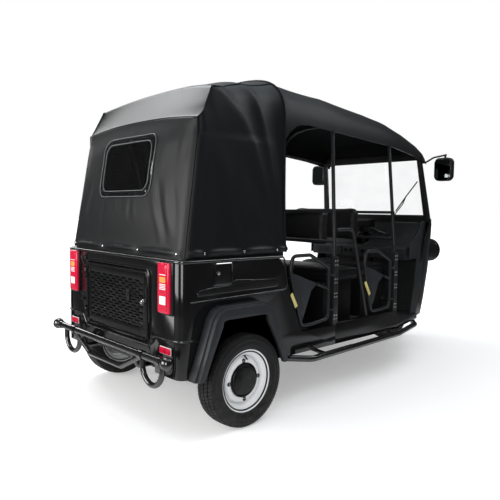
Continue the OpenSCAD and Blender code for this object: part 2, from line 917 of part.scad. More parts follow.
// shape of the roof fabric
// each row: distance ahead of the rear axle, inset from the body side, edge height, shoulder
// base, crown height
roof_rows = [
    [-rear_y + 123, 52, 1590, 1540, 1622], [-rear_y + 145, 50, 1590, 1540, 1650],
    [-rear_y + 310, 46, 1585, 1540, 1838], [hood_y - 250, 38, 1578, 1540, 1884],
    [hood_y, 26, 1565, 1540, 1930], [hood_y + 50, 27, 1600, 1530, 1930],
    [hood_y + 110, 30, 1640, 1520, 1928], [hood_y + 195, 33, 1662, 1510, 1924],
    [post1_y + 80, 42, 1645, 1490, 1908], [post2_y - 200, 60, 1628, 1470, 1878],
    [post2_y + 60, 74, 1617, 1450, 1848], [shield_y - 305, 94, 1592, 1430, 1800],
    [shield_y - 105, 115, 1560, 1410, 1744], [shield_y - 15, 124, 1540, 1400, 1702],
    [shield_y + 13, 128, 1536, 1400, 1650]];

// row of the roof at y: distance, half width, edge height, shoulder base, crown height
function row_at(y) = let (q = [for (i = [1:4]) lookup(y, [for (r = roof_rows) [r[0], r[i]]])])
    [y, body_hw - q[0], q[1], q[2], q[3]];

// point of the roof section at y, drawn in by g, for the angle a from the edge to the crown
function roof_pt(y, a, g) = let (r = row_at(y))
    [(r[1] - g) * pow(cos(a), 0.5), y, r[3] + (r[4] - g - r[3]) * pow(sin(a), 0.5)];

// the same point for a bow that leans about the foot at y0 and z0 with slope k
function bow_pt(y, a, g, y0, z0, k, n = 5) =
    let (p = roof_pt(y, a, g))
    n == 0 ? p : bow_pt(y0 + k * (p[2] - z0), a, g, y0, z0, k, n - 1);

function flip(p) = [for (q = back(p)) [-q[0], q[1], q[2]]];

bow_gap = cloth + bow_r + 7;
rail_in = 32;
foot_z = waist_z;
// hoop of the hood: feet on the waist at y0, crown at y1, drawn in by g
module hood_bow(y0, y1, g) {
    k = (y1 - y0) / (row_at(y1)[4] - foot_z);
    half_bow = concat([[inner_hw - fold_w - bow_r - touch, y0, foot_z]],
        [for (a = [4, 12, 25, 40, 55, 70, 82]) bow_pt(y1, a, g, y0, foot_z, k)]);
    sweep(concat(half_bow, [bow_pt(y1, 90, g, y0, foot_z, k)], flip(half_bow)), bow_r, [0, 1, 0], 10);
}

// hoop of the roof between the side rails
module roof_bow(y) {
    half_bow = [for (a = [10, 18, 30, 45, 60, 75]) roof_pt(y, a, bow_gap)];
    sweep(concat(half_bow, [roof_pt(y, 90, bow_gap)], flip(half_bow)), bow_r, [0, 1, 0], 10);
}

module hood_bows() {
    color([0.14, 0.14, 0.15]) {
        hood_bow(hood_y - 15, hood_y, bow_gap);
        hood_bow(hood_y - 50, hood_y - 245, bow_gap + 2);
        hood_bow(hood_y - 88, -rear_y + 327, bow_gap + 14);
    }
}

module roof_rails() {
    stops = [hood_y + 250, post1_y + 80, post2_y - 200, post2_y + 60, shield_y - 305];
    color([0.14, 0.14, 0.15]) {
        both()
            sweep(concat([[body_hw - 51, hood_y + bow_r + 4, 1651]], [for (y = stops) let (r = row_at(y))
                [r[1] - rail_in, y, r[2] + 14]], [[body_hw - 150, shield_y - 100, 1584]]), bow_r, [1, 0, 0]);
        roof_bow(post1_y + 15);
        roof_bow(post2_y + 15);
    }
}

// windshield
lean = 10;
shield_z = 1130;
module on_shield(d) {
    translate([0, shield_y, shield_z])
        rotate([90 + lean, 0, 0])
            translate([0, 0, -d])
                children();
}

module windshield_frame() {
    color([0.06, 0.06, 0.065])
        on_shield(17)
            linear_extrude(height = 34)
                difference() {
                    polygon(mirrored([[body_hw - 92, -60], [body_hw - 136, 400], [body_hw - 139, 440],
                        [body_hw - 144, 460], [body_hw - 152, 480], [body_hw - 164, 500]]));
                    polygon(glass_pts);
                }
}

function mirrored(p) = concat(p, [for (q = back(p)) [-q[0], q[1]]]);
glass_pts = mirrored([[body_hw - 142, 0], [body_hw - 172, 440]]);
module windshield() {
    color([0.75, 0.85, 0.88, 0.3])
        on_shield(2.5)
            linear_extrude(height = 5)
                polygon(glass_pts);
}

// nose: plan outline at one height
function nose_ring(z, w, ys, yf, n) = concat(
    [for (a = [0:9:90]) [w * pow(cos(a), 2 / n), ys + (yf - ys) * pow(sin(a), 2 / n), z]],
    [for (a = [81:-9:0]) [-w * pow(cos(a), 2 / n), ys + (yf - ys) * pow(sin(a), 2 / n), z]]);

// each ring: height, inset from the body side, back and front from the front axle, squareness
nose_rings = [for (q = [[hem_z, 178, -376, 60, 2.4], [450, 158, -370, 82, 2.4], [680, 130, -354, 80, 2.4],
    [860, 108, -334, 44, 2.4], [960, 96, -320, -14, 2.5], [1060, 82, -302, -118, 2.8],
    [1100, 76, -294, -190, 3]]) [q[0], body_hw - q[1], wheelbase + q[2], wheelbase + q[3], q[4]]];

arch_w = 300;
arch_top = 650;
lamp_pos = [360, wheelbase - 180, 830];
lamp_r = 91.5;
module nose() {
    top = nose_rings[len(nose_rings) - 1];
    color([0.05, 0.05, 0.055]) {
        difference() {
            loft([for (r = nose_rings) back(nose_ring(r[0], r[1], r[2], r[3], r[4]))]);
            loft([for (r = nose_rings) back(nose_ring(r[0] + (r[0] == hem_z ? -10 : r[0] > 1090 ? 10 : 0),
                r[1] - 5, r[2] - 8, r[3] - 5, r[4]))]);
            translate([-arch_w, nose_y - 100, hem_z - 20])
                cube([2 * arch_w, 700, 134]);
            translate([0, nose_y - 100, hem_z + 114])
                rotate([-90, 0, 0])
                    scale([1, (arch_top - hem_z - 114) / arch_w, 1])
                        cylinder(h = 700, r = arch_w);
            both()
                translate(lamp_pos)
                    rotate([-90, 0, 0])
                        cylinder(h = 400, r = lamp_r + touch);
            on_shield(17 + touch)
                linear_extrude(height = 34 + 2 * touch)
                    translate([-body_hw, -60 - touch])
                        square([2 * body_hw, 400]);
        }
        // cowl under the glass
        translate([0, 0, top[0] - skin])
            linear_extrude(height = skin)
                intersection() {
                    polygon([for (q = nose_ring(0, top[1] - 2, top[2], top[3] - 2, top[4])) [q[0], q[1]]]);
                    translate([-body_hw, shield_y + 24])
                        square([2 * body_hw, 200]);
                }
    }
}

module lamp_turned() {
    both()
        translate(lamp_pos)
            rotate([-90, 0, 0])
                rotate_extrude($fn = 48)
                    children();
}

module headlamps() {
    color([0.05, 0.05, 0.055])
        lamp_turned()
            polygon([[40, 62], [80, 62], [lamp_r, 80], [lamp_r, 216], [lamp_r + 5, 224],
                [lamp_r + 5, 248], [lamp_r - 3, 256], [lamp_r - 8, 254], [lamp_r - 8, 230],
                [60, 120], [40, 76]]);
}

module headlamp_lenses() {
    color([0.8, 0.85, 0.88, 0.35])
        lamp_turned()
            polygon([[0, 284], [40, 279], [66, 268], [lamp_r - 8, 254], [lamp_r - 8, 248],
                [64, 262], [38, 273], [0, 278]]);
}

dash_z = 775;
dash_hw = inner_hw - 156;
dash_line = [for (q = [[-235, dash_z], [-235, 862], [-221, 872], [-175, 880], [-9, 1066]])
    [shield_y + q[0], q[1]]];
module dash() {
    color([0.28, 0.3, 0.32])
        difference() {
            union() {
                side_plate(concat(dash_line,
                    back([for (q = dash_line) q + [skin, q[1] > dash_z ? -skin : 0]])), -dash_hw, dash_hw);
                both()
                    side_plate(concat(dash_line, [[shield_y - 9, dash_z]]), dash_hw - skin, dash_hw);
            }
            on_axis()
                translate([0, 0, 550])
                    cylinder(h = 400, r = 70);
        }
}

// hood and roof fabric
function arch_half(x, ze, zb, zc, n) =
    let (a0 = asin(pow(max(0.0001, (ze - zb) / (zc - zb)), 2)))
    [for (i = [0:n]) let (a = a0 + (90 - a0) * i / n)
        [x * pow(cos(a), 0.5), zb + (zc - zb) * pow(sin(a), 0.5)]];

function roof_ring(r, t) =
    let (h = arch_half(r[1] - t, r[2], r[3], r[4] - t, 9))
    concat([for (q = h) [q[0], r[0], q[1]]], [for (i = [8:-1:0]) [-h[i][0], r[0], h[i][1]]]);

// wall rows of the hood: height, half width at the rear, half width at the front, rear distance
hem_y = -rear_y + 25;
wall_foot = waist_z + 28;
wall_rows = [[wall_foot, body_hw - 25, body_hw - 12, hem_y], [1240, body_hw - 38, body_hw - 26, hem_y + 49],
    [1604, body_hw - 54, body_hw - 27, hem_y + 105]];
function roof_z(x, y) = let (r = row_at(y), u = min(0.9995, x / r[1]))
    r[3] + (r[4] - r[3]) * pow(1 - pow(u, 4), 0.25);
function wall_ring(r, t) =
    let (top = r[0] == wall_rows[2][0],
        o = [[r[2] - t, hood_y - 5], [r[1] + 3 - t, r[3] + 90], [r[1] - 6 - t, r[3] + 28 + t * 0.5],
        [r[1] - 30 - t * 0.5, r[3] + 5 + t], [r[1] - 90, r[3] + t], [380, r[3] + t], [200, r[3] + t]],
        p = [for (q = o) [q[0], q[1], top ? min(1630, roof_z(q[0], q[1]) - cloth / 2) : r[0]]])
    concat(p, flip(p));

// tab of the hem with room for a snap button
module hem_tab() {
    translate([0, 0, -cloth])
        linear_extrude(height = cloth)
            hull() {
                translate([-34, 14])
                    square([68, 8]);
                translate([0, -2])
                    circle(r = 13, $fn = 24);
            }
}

snap_x = [190, 560];
snap_y = [hem_y + 128, 30, hood_y - 67];
module canopy() {
    color([0.1, 0.11, 0.12])
        difference() {
            union() {
                both() {
                    on_rear_wall()
                        for (x = snap_x)
                            translate([x, 0, 0])
                                hem_tab();
                    for (y = snap_y)
                        translate([body_hw - 23 + (y + 270) * 0.0179, y, wall_foot])
                            rotate([90, 0, 91])
                                rotate([-2.6, 0, 0])
                                    hem_tab();
                }
                loft([for (q = roof_rows) let (r = row_at(q[0]))
                    concat(roof_ring(r, 0), back(roof_ring(r, cloth)))]);
                loft([for (r = wall_rows) concat(wall_ring(r, 0), back(wall_ring(r, cloth)))]);
            }
            on_rear_wall()
                translate([0, 0, -30])
                    linear_extrude(height = 60)
                        translate([-window_hw, 290])
                            round_box([2 * window_hw, 332], 30);
        }
}

wall_lean = atan((wall_rows[2][3] - hem_y) / (wall_rows[2][0] - wall_foot));
module on_rear_wall() {
    translate([0, hem_y, wall_foot])
        rotate([90 - wall_lean, 0, 0])
            children();
}

module hood_window() {
    color([0.7, 0.75, 0.78, 0.4])
        on_rear_wall()
            translate([0, 0, -cloth / 2 - 1])
                linear_extrude(height = 2)
                    translate([touch - window_hw, 290 + touch])
                        round_box([2 * (window_hw - touch), 332 - 2 * touch], 30 - touch);
}

// seats
module pad(size, r) {
    linear_extrude(height = size[2])
        round_box([size[0], size[1]], r);
}

back_lean = 8;
back_foot = [-196, seat_z + 25];
bench1_hw = inner_hw - 56;
bench2_hw = inner_hw - 126;
bench1_y = back_foot[0] + 46;
bench2_y = post1_y + 92;
perch_y = post2_y + 16;
module seat_boxes() {
    color([0.1, 0.1, 0.11]) {
        // rear
        side_plate([[-280, seat_z - 24], [-280, seat_z - 20], [floor_y, seat_z - 20], [floor_y, floor_b],
            [floor_y - skin, floor_b], [floor_y - skin, seat_z - 24]], -inner_hw + 34, inner_hw - 34);
        translate([0, back_foot[0], back_foot[1]])
            rotate([back_lean, 0, 0])
                translate([-bench1_hw + 10, -back_t - 10 - touch, -60])
                    cube([2 * bench1_hw - 20, 10, 340]);
        // middle
        difference() {
            translate([-bench2_hw + 50, bench2_y, floor_z])
                cube([2 * bench2_hw - 100, 300, seat_z + 20 - floor_z]);
            translate([-bench2_hw + 54, bench2_y + 4, floor_z - 10])
                cube([2 * bench2_hw - 108, 292, seat_z + 26 - floor_z]);
        }
        // driver
        difference() {
            translate([-300, perch_y + 14, floor_z])
                cube([600, 290, seat_z - floor_z]);
            translate([-296, perch_y + 18, floor_z - 10])
                cube([592, 282, seat_z + 6 - floor_z]);
        }
    }
}

module cushions() {
    color([0.12, 0.12, 0.13]) {
        translate([-bench1_hw, bench1_y, seat_z - 20])
            pad([2 * bench1_hw, floor_y - 10 - bench1_y, cushion_t], 30);
        translate([-bench2_hw, bench2_y, seat_z + 20])
            pad([2 * bench2_hw, 338, cushion_t], 25);
        translate([-310, perch_y, seat_z])
            pad([620, 334, cushion_t], 25);
    }
}

module backrests() {
    color([0.12, 0.12, 0.13]) {
        translate([30 - bench1_hw, back_foot[0], back_foot[1]])
            rotate([back_lean, 0, 0])
                translate([0, -back_t, 0])
                    pad([2 * bench1_hw - 60, back_t, 318], 20);
        translate([-bench2_hw, post1_y + 14 + touch, 930])
            pad([2 * bench2_hw, back_t, 225], 20);
        translate([0, post2_y - 10 - touch - back_t, 935])
            rotate([-90, 0, 0])
                linear_extrude(height = back_t)
                    translate([-315, -245])
                        round_box([630, 245], 45);
    }
}

// outside rails
module bumper() {
    color([0.05, 0.05, 0.055]) {
        rod([-body_hw + 16, -bumper_y, bumper_z], [body_hw - 16, -bumper_y, bumper_z], rail_r);
        both() {
            translate([body_hw - 16, -bumper_y, bumper_z])
                sphere(r = ball_r);
            bent([[rail_x, -bumper_y, bumper_z], [rail_x, -bumper_y + 34, 322],
                [rail_x, -rear_y + 55 - touch, 322]], 13, 30, [1, 0, 0]);
            bent([[360, -bumper_y + 22, bumper_z], [360, -bumper_y + 22, bumper_z - 148],
                [540, -bumper_y + 22, bumper_z - 148], [540, -bumper_y + 22, bumper_z]], 15, 84, [0, 1, 0]);
        }
        bent([[-385, -bumper_y, bumper_z - 8], [-180, -bumper_y, bumper_z - 105],
            [180, -bumper_y, bumper_z - 105], [385, -bumper_y, bumper_z - 8]], 15, 50, [0, 1, 0]);
    }
}

step_z = 284;
module step_rails() {
    color([0.08, 0.08, 0.085])
        both() {
            bent([[body_hw - 40, 385, step_z], [body_hw + 82, 500, step_z], [body_hw + 38, post2_y, step_z],
                [body_hw - 55, shield_y - 235, step_z], [body_hw - 138, shield_y - 130, step_z]],
                rail_r, 70, [0, 0, 1], 16);
            for (y = [640, post2_y - 60])
                rod([rail_x + rail_w / 2 + 1, y, 318],
                    [body_hw + 75 - (y - 500) * 0.044, y, step_z + 4], 12);
        }
}

// half doors: loops of tube with a pressed gusset
module half_door(post, x, p, g, bar) {
    color([0.12, 0.12, 0.13]) {
        for (z = hinge_z)
            difference() {
                union() {
                    translate([hinge_x, hinge_y(post), z])
                        cylinder(h = hinge_h, r = barrel_r);
                    rod([x + 4, p[0][0] + 4, z + hinge_h / 2], [hinge_x, hinge_y(post), z + hinge_h / 2], 6);
                }
                translate([hinge_x, hinge_y(post), z - 1])
                    cylinder(h = hinge_h + 2, r = hinge_pin_r + hub_fit);
            }
        loop([for (q = p) [x, q[0], q[1]]], 11, 34, [1, 0, 0]);
        rod([x, bar[0][0], bar[0][1]], [x, bar[1][0], bar[1][1]], 9);
        side_plate(g, x - 2, x + 2);
    }
}

// door outlines as distances from their posts, and heights
door1 = [[-60, 478], [-60, 800], [-240, 886], [-395, 886], [-411, 800], [-309, 462], [-215, 462]];
door1_gusset = [[-405, 790], [-165, 706], [-223, 676], [-299, 500], [-315, 500]];
door2 = [[-58, 478], [-58, 806], [-222, 884], [-352, 884], [-368, 800], [-282, 468], [-200, 468]];
door2_gusset = [[-362, 790], [-120, 704], [-178, 674], [-264, 506], [-280, 506]];
door_x = body_hw - 16;
function from_post(post, p) = [for (q = p) [post + q[0], q[1]]];

module door_rear_right() {
    half_door(post1_y, door_x, from_post(post1_y, door1), from_post(post1_y, door1_gusset),
        from_post(post1_y, [[-175, 704], [-60, 664]]));
}

module door_front_right() {
    half_door(post2_y, door_x, from_post(post2_y, door2), from_post(post2_y, door2_gusset),
        from_post(post2_y, [[-130, 702], [-58, 676]]));
}

module door_rear_left() {
    mirror([1, 0, 0])
        door_rear_right();
}

module door_front_left() {
    mirror([1, 0, 0])
        door_front_right();
}

module mirrors() {
    color([0.06, 0.06, 0.06])
        both() {
            bent([[body_hw - 180, shield_y - 62, 1582], [body_hw - 178, shield_y + 29, 1544],
                [body_hw - 100, shield_y + 45, 1590], [body_hw + 10, shield_y + 41, 1604]],
                7, 25, [1, 0, 1]);
            rod([body_hw + 4, shield_y + 35, 1608], [body_hw + 4, shield_y + 33, 1575], 8);
            translate([body_hw - 70, shield_y + 3, 1400])
                rotate([90, 0, 0])
                    translate([0, 0, -42])
                        linear_extrude(height = 42)
                            round_box([145, 180], 42);
        }
}

module wiper() {
    color([0.04, 0.04, 0.04])
        on_shield(24) {
            translate([195, -6, -5])
                cylinder(h = 12 - touch, r = 13);
            bent([[195, -6, -2], [280, 84, -2], [332, 156, 15]], 4, 30, [0, 0, 1], 8);
            bent([[225, 30, 15.5], [330, 152, 15.5], [440, 270, 15.5]], 5, 30, [0, 0, 1], 8);
        }
}

module pedals() {
    color([0.2, 0.2, 0.21])
        for (x = [120, 240]) {
            rod([x, wall_y - 8, 520], [x, wall_y - 86, 430], 8);
            translate([x - 32, wall_y - 121, 418])
                rotate([38, 0, 0])
                    cube([64, 60, 12]);
        }
}

vehicle()
        chassis();
vehicle()
        rear_axle();
vehicle()
        motor();
vehicle()
        trailing_arms();
vehicle()
        dampers();
vehicle()
        floor_pan();
vehicle()
        wheelhouses();
vehicle()
        quarters();
vehicle()
        filler_flap();
vehicle()
        flares();
vehicle()
        sills();
vehicle()
        rear_panel();
vehicle()
        rear_door();
vehicle()
        tail_lamps();
vehicle()
        posts_middle();
vehicle()
        posts_front();
vehicle()
        hood_bows();
vehicle()
        roof_rails();
vehicle()
        windshield_frame();
vehicle()
        windshield();
vehicle()
        nose();
vehicle()
        headlamps();
vehicle()
        headlamp_lenses();
vehicle()
        dash();
vehicle()
        canopy();
vehicle()
        hood_window();
vehicle()
        seat_boxes();
vehicle()
        cushions();
vehicle()
        backrests();
vehicle()
        bumper();
vehicle()
        step_rails();
vehicle()
        door_rear_right();
vehicle()
        door_front_right();
vehicle()
        door_rear_left();
vehicle()
        door_front_left();
vehicle()
        mirrors();
vehicle()
        wiper();
vehicle()
        pedals();
vehicle()
        handlebar();
vehicle()
        fork();
vehicle()
        front_guard();
vehicle()
        tyre_front();
vehicle()
        rim_front();
vehicle()
        tyre_right();
vehicle()
        rim_right();
vehicle()
        cap_right();
vehicle()
        tyre_left();
vehicle()
        rim_left();
vehicle()
        cap_left();
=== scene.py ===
import json
import math
import random

import bmesh
import bpy
from mathutils import Matrix, Vector, noise


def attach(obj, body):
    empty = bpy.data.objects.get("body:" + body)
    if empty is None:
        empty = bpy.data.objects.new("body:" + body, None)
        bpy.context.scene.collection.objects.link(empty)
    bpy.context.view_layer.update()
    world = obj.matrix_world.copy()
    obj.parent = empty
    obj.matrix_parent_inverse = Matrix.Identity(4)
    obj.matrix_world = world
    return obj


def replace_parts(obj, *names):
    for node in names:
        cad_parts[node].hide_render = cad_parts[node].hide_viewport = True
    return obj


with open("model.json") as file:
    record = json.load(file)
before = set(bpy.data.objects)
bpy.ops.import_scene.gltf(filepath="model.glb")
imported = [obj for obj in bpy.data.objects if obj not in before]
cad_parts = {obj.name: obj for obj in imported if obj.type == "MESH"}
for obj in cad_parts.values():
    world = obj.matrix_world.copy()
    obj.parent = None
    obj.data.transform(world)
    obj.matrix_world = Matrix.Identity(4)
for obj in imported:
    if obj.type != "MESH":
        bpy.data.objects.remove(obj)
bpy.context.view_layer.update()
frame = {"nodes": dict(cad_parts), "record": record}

record = frame["record"]
BODY_OF = {n: b for b, names in record["behaviour"]["bodies"].items() for n in names}
SLOT_OF = {p["node"]: p["material_slot"] for p in record["subparts"]}

# Lengths below are in millimetres from the rear axle, as in the part's source.
MID = 1085.5


def at(x, y, z):
    return Vector((x, y - MID, z)) / 1000


def lerp(a, b, t):
    return a + (b - a) * t


def clamp(v, lo=0.0, hi=1.0):
    return max(lo, min(hi, v))


def ease(a, b, v):
    t = clamp((v - a) / (b - a))
    return t * t * (3 - 2 * t)


def table(rows, v):
    """Row of a sorted table at v, between its neighbours."""
    if v <= rows[0][0]:
        return rows[0]
    for a, b in zip(rows, rows[1:]):
        if v <= b[0]:
            t = (v - a[0]) / (b[0] - a[0])
            return tuple(lerp(p, q, t) for p, q in zip(a, b))
    return rows[-1]


# ---------------------------------------------------------------- meshes
def new_mesh(name, verts, faces):
    mesh = bpy.data.meshes.new(name)
    mesh.from_pydata([tuple(v) for v in verts], [], faces)
    mesh.validate()
    return mesh


def place(name, mesh, finish, body="vehicle", smooth=None):
    """Make a finished piece of a mesh. smooth is the angle, in degrees, under which edges are soft."""
    ob = bpy.data.objects.new(name, mesh)
    bpy.context.scene.collection.objects.link(ob)
    mesh.materials.clear()
    mesh.materials.append(FINISH[finish][0])
    soften(mesh, smooth)
    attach(ob, body)
    return ob


def soften(mesh, angle):
    if angle is None:
        return
    mesh.polygons.foreach_set("use_smooth", [True] * len(mesh.polygons))
    mesh.set_sharp_from_angle(angle=math.radians(angle))


def baked(ob):
    """Apply every modifier of an object to its mesh."""
    graph = bpy.context.evaluated_depsgraph_get()
    mesh = bpy.data.meshes.new_from_object(ob.evaluated_get(graph))
    ob.modifiers.clear()
    ob.data = mesh
    return ob


def outward(mesh):
    bm = bmesh.new()
    bm.from_mesh(mesh)
    bmesh.ops.remove_doubles(bm, verts=bm.verts, dist=1e-5)
    bmesh.ops.recalc_face_normals(bm, faces=bm.faces)
    bm.to_mesh(mesh)
    bm.free()


def joined(parts):
    verts, faces = [], []
    for vs, fs in parts:
        k = len(verts)
        verts += vs
        faces += [tuple(i + k for i in f) for f in fs]
    return verts, faces


def sweep(points, radius, sides=8, closed=False):
    """Tube along points, with a frame that is carried along it. radius is a number or one per point."""
    pts = [Vector(p) for p in points]
    n = len(pts)
    radii = radius if hasattr(radius, "__len__") else [radius] * n
    tangents = []
    for i in range(n):
        a = pts[(i - 1) % n] if closed or i else pts[0]
        b = pts[(i + 1) % n] if closed or i < n - 1 else pts[-1]
        tangents.append((b - a).normalized())
    side = tangents[0].orthogonal().normalized()
    rings = []
    for i in range(n):
        if i:
            side = tangents[i - 1].rotation_difference(tangents[i]) @ side
        side = (side - tangents[i] * side.dot(tangents[i])).normalized()
        up = tangents[i].cross(side)
        rings.append([pts[i] + radii[i] * (side * math.cos(t) + up * math.sin(t))
                      for t in (2 * math.pi * k / sides for k in range(sides))])
    turn = 0
    if closed:
        turn = min(range(sides), key=lambda k: (rings[0][k] - rings[-1][0]).length)
    verts = [v for r in rings for v in r]
    faces = []
    for i in range(n if closed else n - 1):
        j = (i + 1) % n
        shift = turn if closed and j == 0 else 0
        for k in range(sides):
            l = (k + 1) % sides
            faces.append((i * sides + k, i * sides + l, j * sides + (l + shift) % sides,
                          j * sides + (k + shift) % sides))
    if not closed:
        faces.append(tuple(reversed(range(sides))))
        faces.append(tuple(range((n - 1) * sides, n * sides)))
    return verts, faces


def curve_through(points, steps=6, closed=False):
    """Smooth points through the given ones."""
    pts = [Vector(p) for p in points]
    n = len(pts)
    out = []
    for i in range(n if closed else n - 1):
        p0 = pts[(i - 1) % n] if closed or i else pts[0]
        p1, p2 = pts[i], pts[(i + 1) % n]
        p3 = pts[(i + 2) % n] if closed or i < n - 2 else pts[-1]
        for s in range(steps):
            t = s / steps
            out.append(0.5 * ((2 * p1) + (p2 - p0) * t + (2 * p0 - 5 * p1 + 4 * p2 - p3) * t ** 2
                              + (3 * p1 - p0 - 3 * p2 + p3) * t ** 3))
    if not closed:
        out.append(pts[-1])
    return out


def spun(profile, steps, centre, axis=(1, 0, 0), flip=False):
    """Turned form: profile of (distance along the axis, radius), closed where the radius is 0."""
    axis = Vector(axis)
    u = axis.orthogonal().normalized()
    w = axis.cross(u)
    verts, faces, rings = [], [], []
    for d, r in profile:
        if r < 1e-6:
            rings.append([len(verts)])
            verts.append(centre + axis * d)
        else:
            rings.append(list(range(len(verts), len(verts) + steps)))
            verts += [centre + axis * d + r * (u * math.cos(t) + w * math.sin(t))
                      for t in (2 * math.pi * k / steps for k in range(steps))]
    for a, b in zip(rings, rings[1:]):
        for k in range(steps):
            l = (k + 1) % steps
            if len(a) == 1 and len(b) > 1:
                faces.append((a[0], b[k], b[l]))
            elif len(b) == 1 and len(a) > 1:
                faces.append((a[k], b[0], a[l]))
            elif len(a) > 1:
                faces.append((a[k], b[k], b[l], a[l]))
    if flip:
        faces = [tuple(reversed(f)) for f in faces]
    return verts, faces


def refine(node, finish, bevel=1.2, angle=32, segments=2, name=None):
    """Copy of a CAD node with merged faces, rolled edges and soft shading, in its place."""
    source = frame["nodes"][node]
    mesh = source.data.copy()
    bm = bmesh.new()
    bm.from_mesh(mesh)
    bmesh.ops.remove_doubles(bm, verts=bm.verts, dist=2e-5)
    bmesh.ops.dissolve_limit(bm, angle_limit=math.radians(0.6), verts=bm.verts, edges=bm.edges)
    bm.to_mesh(mesh)
    bm.free()
    ob = place(name or node + "_finished", mesh, finish, BODY_OF[node])
    if bevel:
        mod = ob.modifiers.new("edge", "BEVEL")
        mod.width = bevel / 1000
        mod.segments = segments
        mod.limit_method = "ANGLE"
        mod.angle_limit = math.radians(angle)
        mod.use_clamp_overlap = True
        baked(ob)
    soften(ob.data, 34)
    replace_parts(ob, node)
    return ob


# ---------------------------------------------------------------- material nodes
def tree_nodes(tree):
    """Returns add(kind, output, **inputs): a node whose inputs are numbers or other sockets."""
    def add(kind, out=0, props=None, **inputs):
        node = tree.nodes.new(kind)
        for key, value in (props or {}).items():
            setattr(node, key, value)
        for key, value in inputs.items():
            key = key.replace("_", " ")
            socket = next(s for s in node.inputs if s.enabled and key in (s.name, s.identifier))
            if isinstance(value, bpy.types.NodeSocket):
                tree.links.new(value, socket)
            else:
                socket.default_value = value
        return node.outputs[out]
    return add


def math_node(add, op, a, b=0.0):
    node = add("ShaderNodeMath", props={"operation": op})
    tree = node.node
    for socket, value in zip(tree.inputs, (a, b)):
        if isinstance(value, bpy.types.NodeSocket):
            tree.id_data.links.new(value, socket)
        else:
            socket.default_value = value
    return node


def mixed(add, factor, a, b):
    out = add("ShaderNodeMix", 2, {"data_type": "RGBA"})
    node = out.node
    for socket, value in zip((node.inputs[0], node.inputs[6], node.inputs[7]), (factor, a, b)):
        if isinstance(value, bpy.types.NodeSocket):
            node.id_data.links.new(value, socket)
        else:
            socket.default_value = value
    return out


def new_group(name, inputs, outputs):
    group = bpy.data.node_groups.new(name, "ShaderNodeTree")
    for label, value in inputs:
        kind = "NodeSocketColor" if hasattr(value, "__len__") else "NodeSocketFloat"
        group.interface.new_socket(label, in_out="INPUT", socket_type=kind).default_value = value
    for label, kind in outputs:
        group.interface.new_socket(label, in_out="OUTPUT", socket_type=kind)
    source = group.nodes.new("NodeGroupInput")
    sink = group.nodes.new("NodeGroupOutput")
    return group, source.outputs, sink.inputs


def grain_group():
    """Fine mottling and a grain height: how an even finish really varies."""
    group, given, out = new_group("surface_grain", [("Scale", 40.0), ("Patch Scale", 5.0)],
                                  [("Patches", "NodeSocketFloat"), ("Grain", "NodeSocketFloat")])
    add = tree_nodes(group)
    where = add("ShaderNodeTexCoord", 3)
    patches = add("ShaderNodeTexNoise", Vector=where, Scale=given["Patch Scale"], Detail=4.0)
    grain = add("ShaderNodeTexNoise", Vector=where, Scale=given["Scale"], Detail=6.0, Roughness=0.6)
    group.links.new(patches, out["Patches"])
    group.links.new(grain, out["Grain"])
    return group


def dust_group():
    """Dust that lies on upward faces and rises from the road."""
    group, given, out = new_group("road_dust", [("Amount", 0.3), ("Reach", 0.6)],
                                  [("Mask", "NodeSocketFloat")])
    add = tree_nodes(group)
    where = add("ShaderNodeTexCoord", 3)
    height = add("ShaderNodeSeparateXYZ", 2, Vector=where)
    low = add("ShaderNodeMapRange", Value=height, From_Min=given["Reach"], From_Max=0.0)
    up = add("ShaderNodeSeparateXYZ", 2, Vector=add("ShaderNodeNewGeometry", 1))
    flat = add("ShaderNodeMapRange", Value=up, From_Min=0.55, From_Max=1.0, To_Max=0.5)
    speckle = add("ShaderNodeTexNoise", Vector=where, Scale=28.0, Detail=8.0, Roughness=0.7)
    spread = add("ShaderNodeMapRange", Value=speckle, From_Min=0.42, From_Max=0.7)
    both = math_node(add, "MAXIMUM", low, flat)
    mask = math_node(add, "MULTIPLY", math_node(add, "MULTIPLY", both, spread), given["Amount"])
    group.links.new(mask, out["Mask"])
    return group


def weave_group():
    """Crossed threads of a coated cloth, as a height."""
    group, given, out = new_group("cloth_weave", [("Pitch", 900.0)], [("Height", "NodeSocketFloat")])
    add = tree_nodes(group)
    where = add("ShaderNodeTexCoord", 3)
    parts = []
    for turn in ((0.0, 0.0, 0.78), (0.0, 0.9, -0.78)):
        turned = add("ShaderNodeMapping", Vector=where, Rotation=turn)
        parts.append(add("ShaderNodeTexWave", 1, Vector=turned, Scale=given["Pitch"], Distortion=0.6))
    group.links.new(math_node(add, "MULTIPLY", *parts), out["Height"])
    return group


GRAIN = grain_group()
DUST = dust_group()
WEAVE = weave_group()
DUSTY = (0.20, 0.18, 0.155, 1)


def use_group(add, group, out, **inputs):
    return add("ShaderNodeGroup", out, {"node_tree": group}, **inputs)


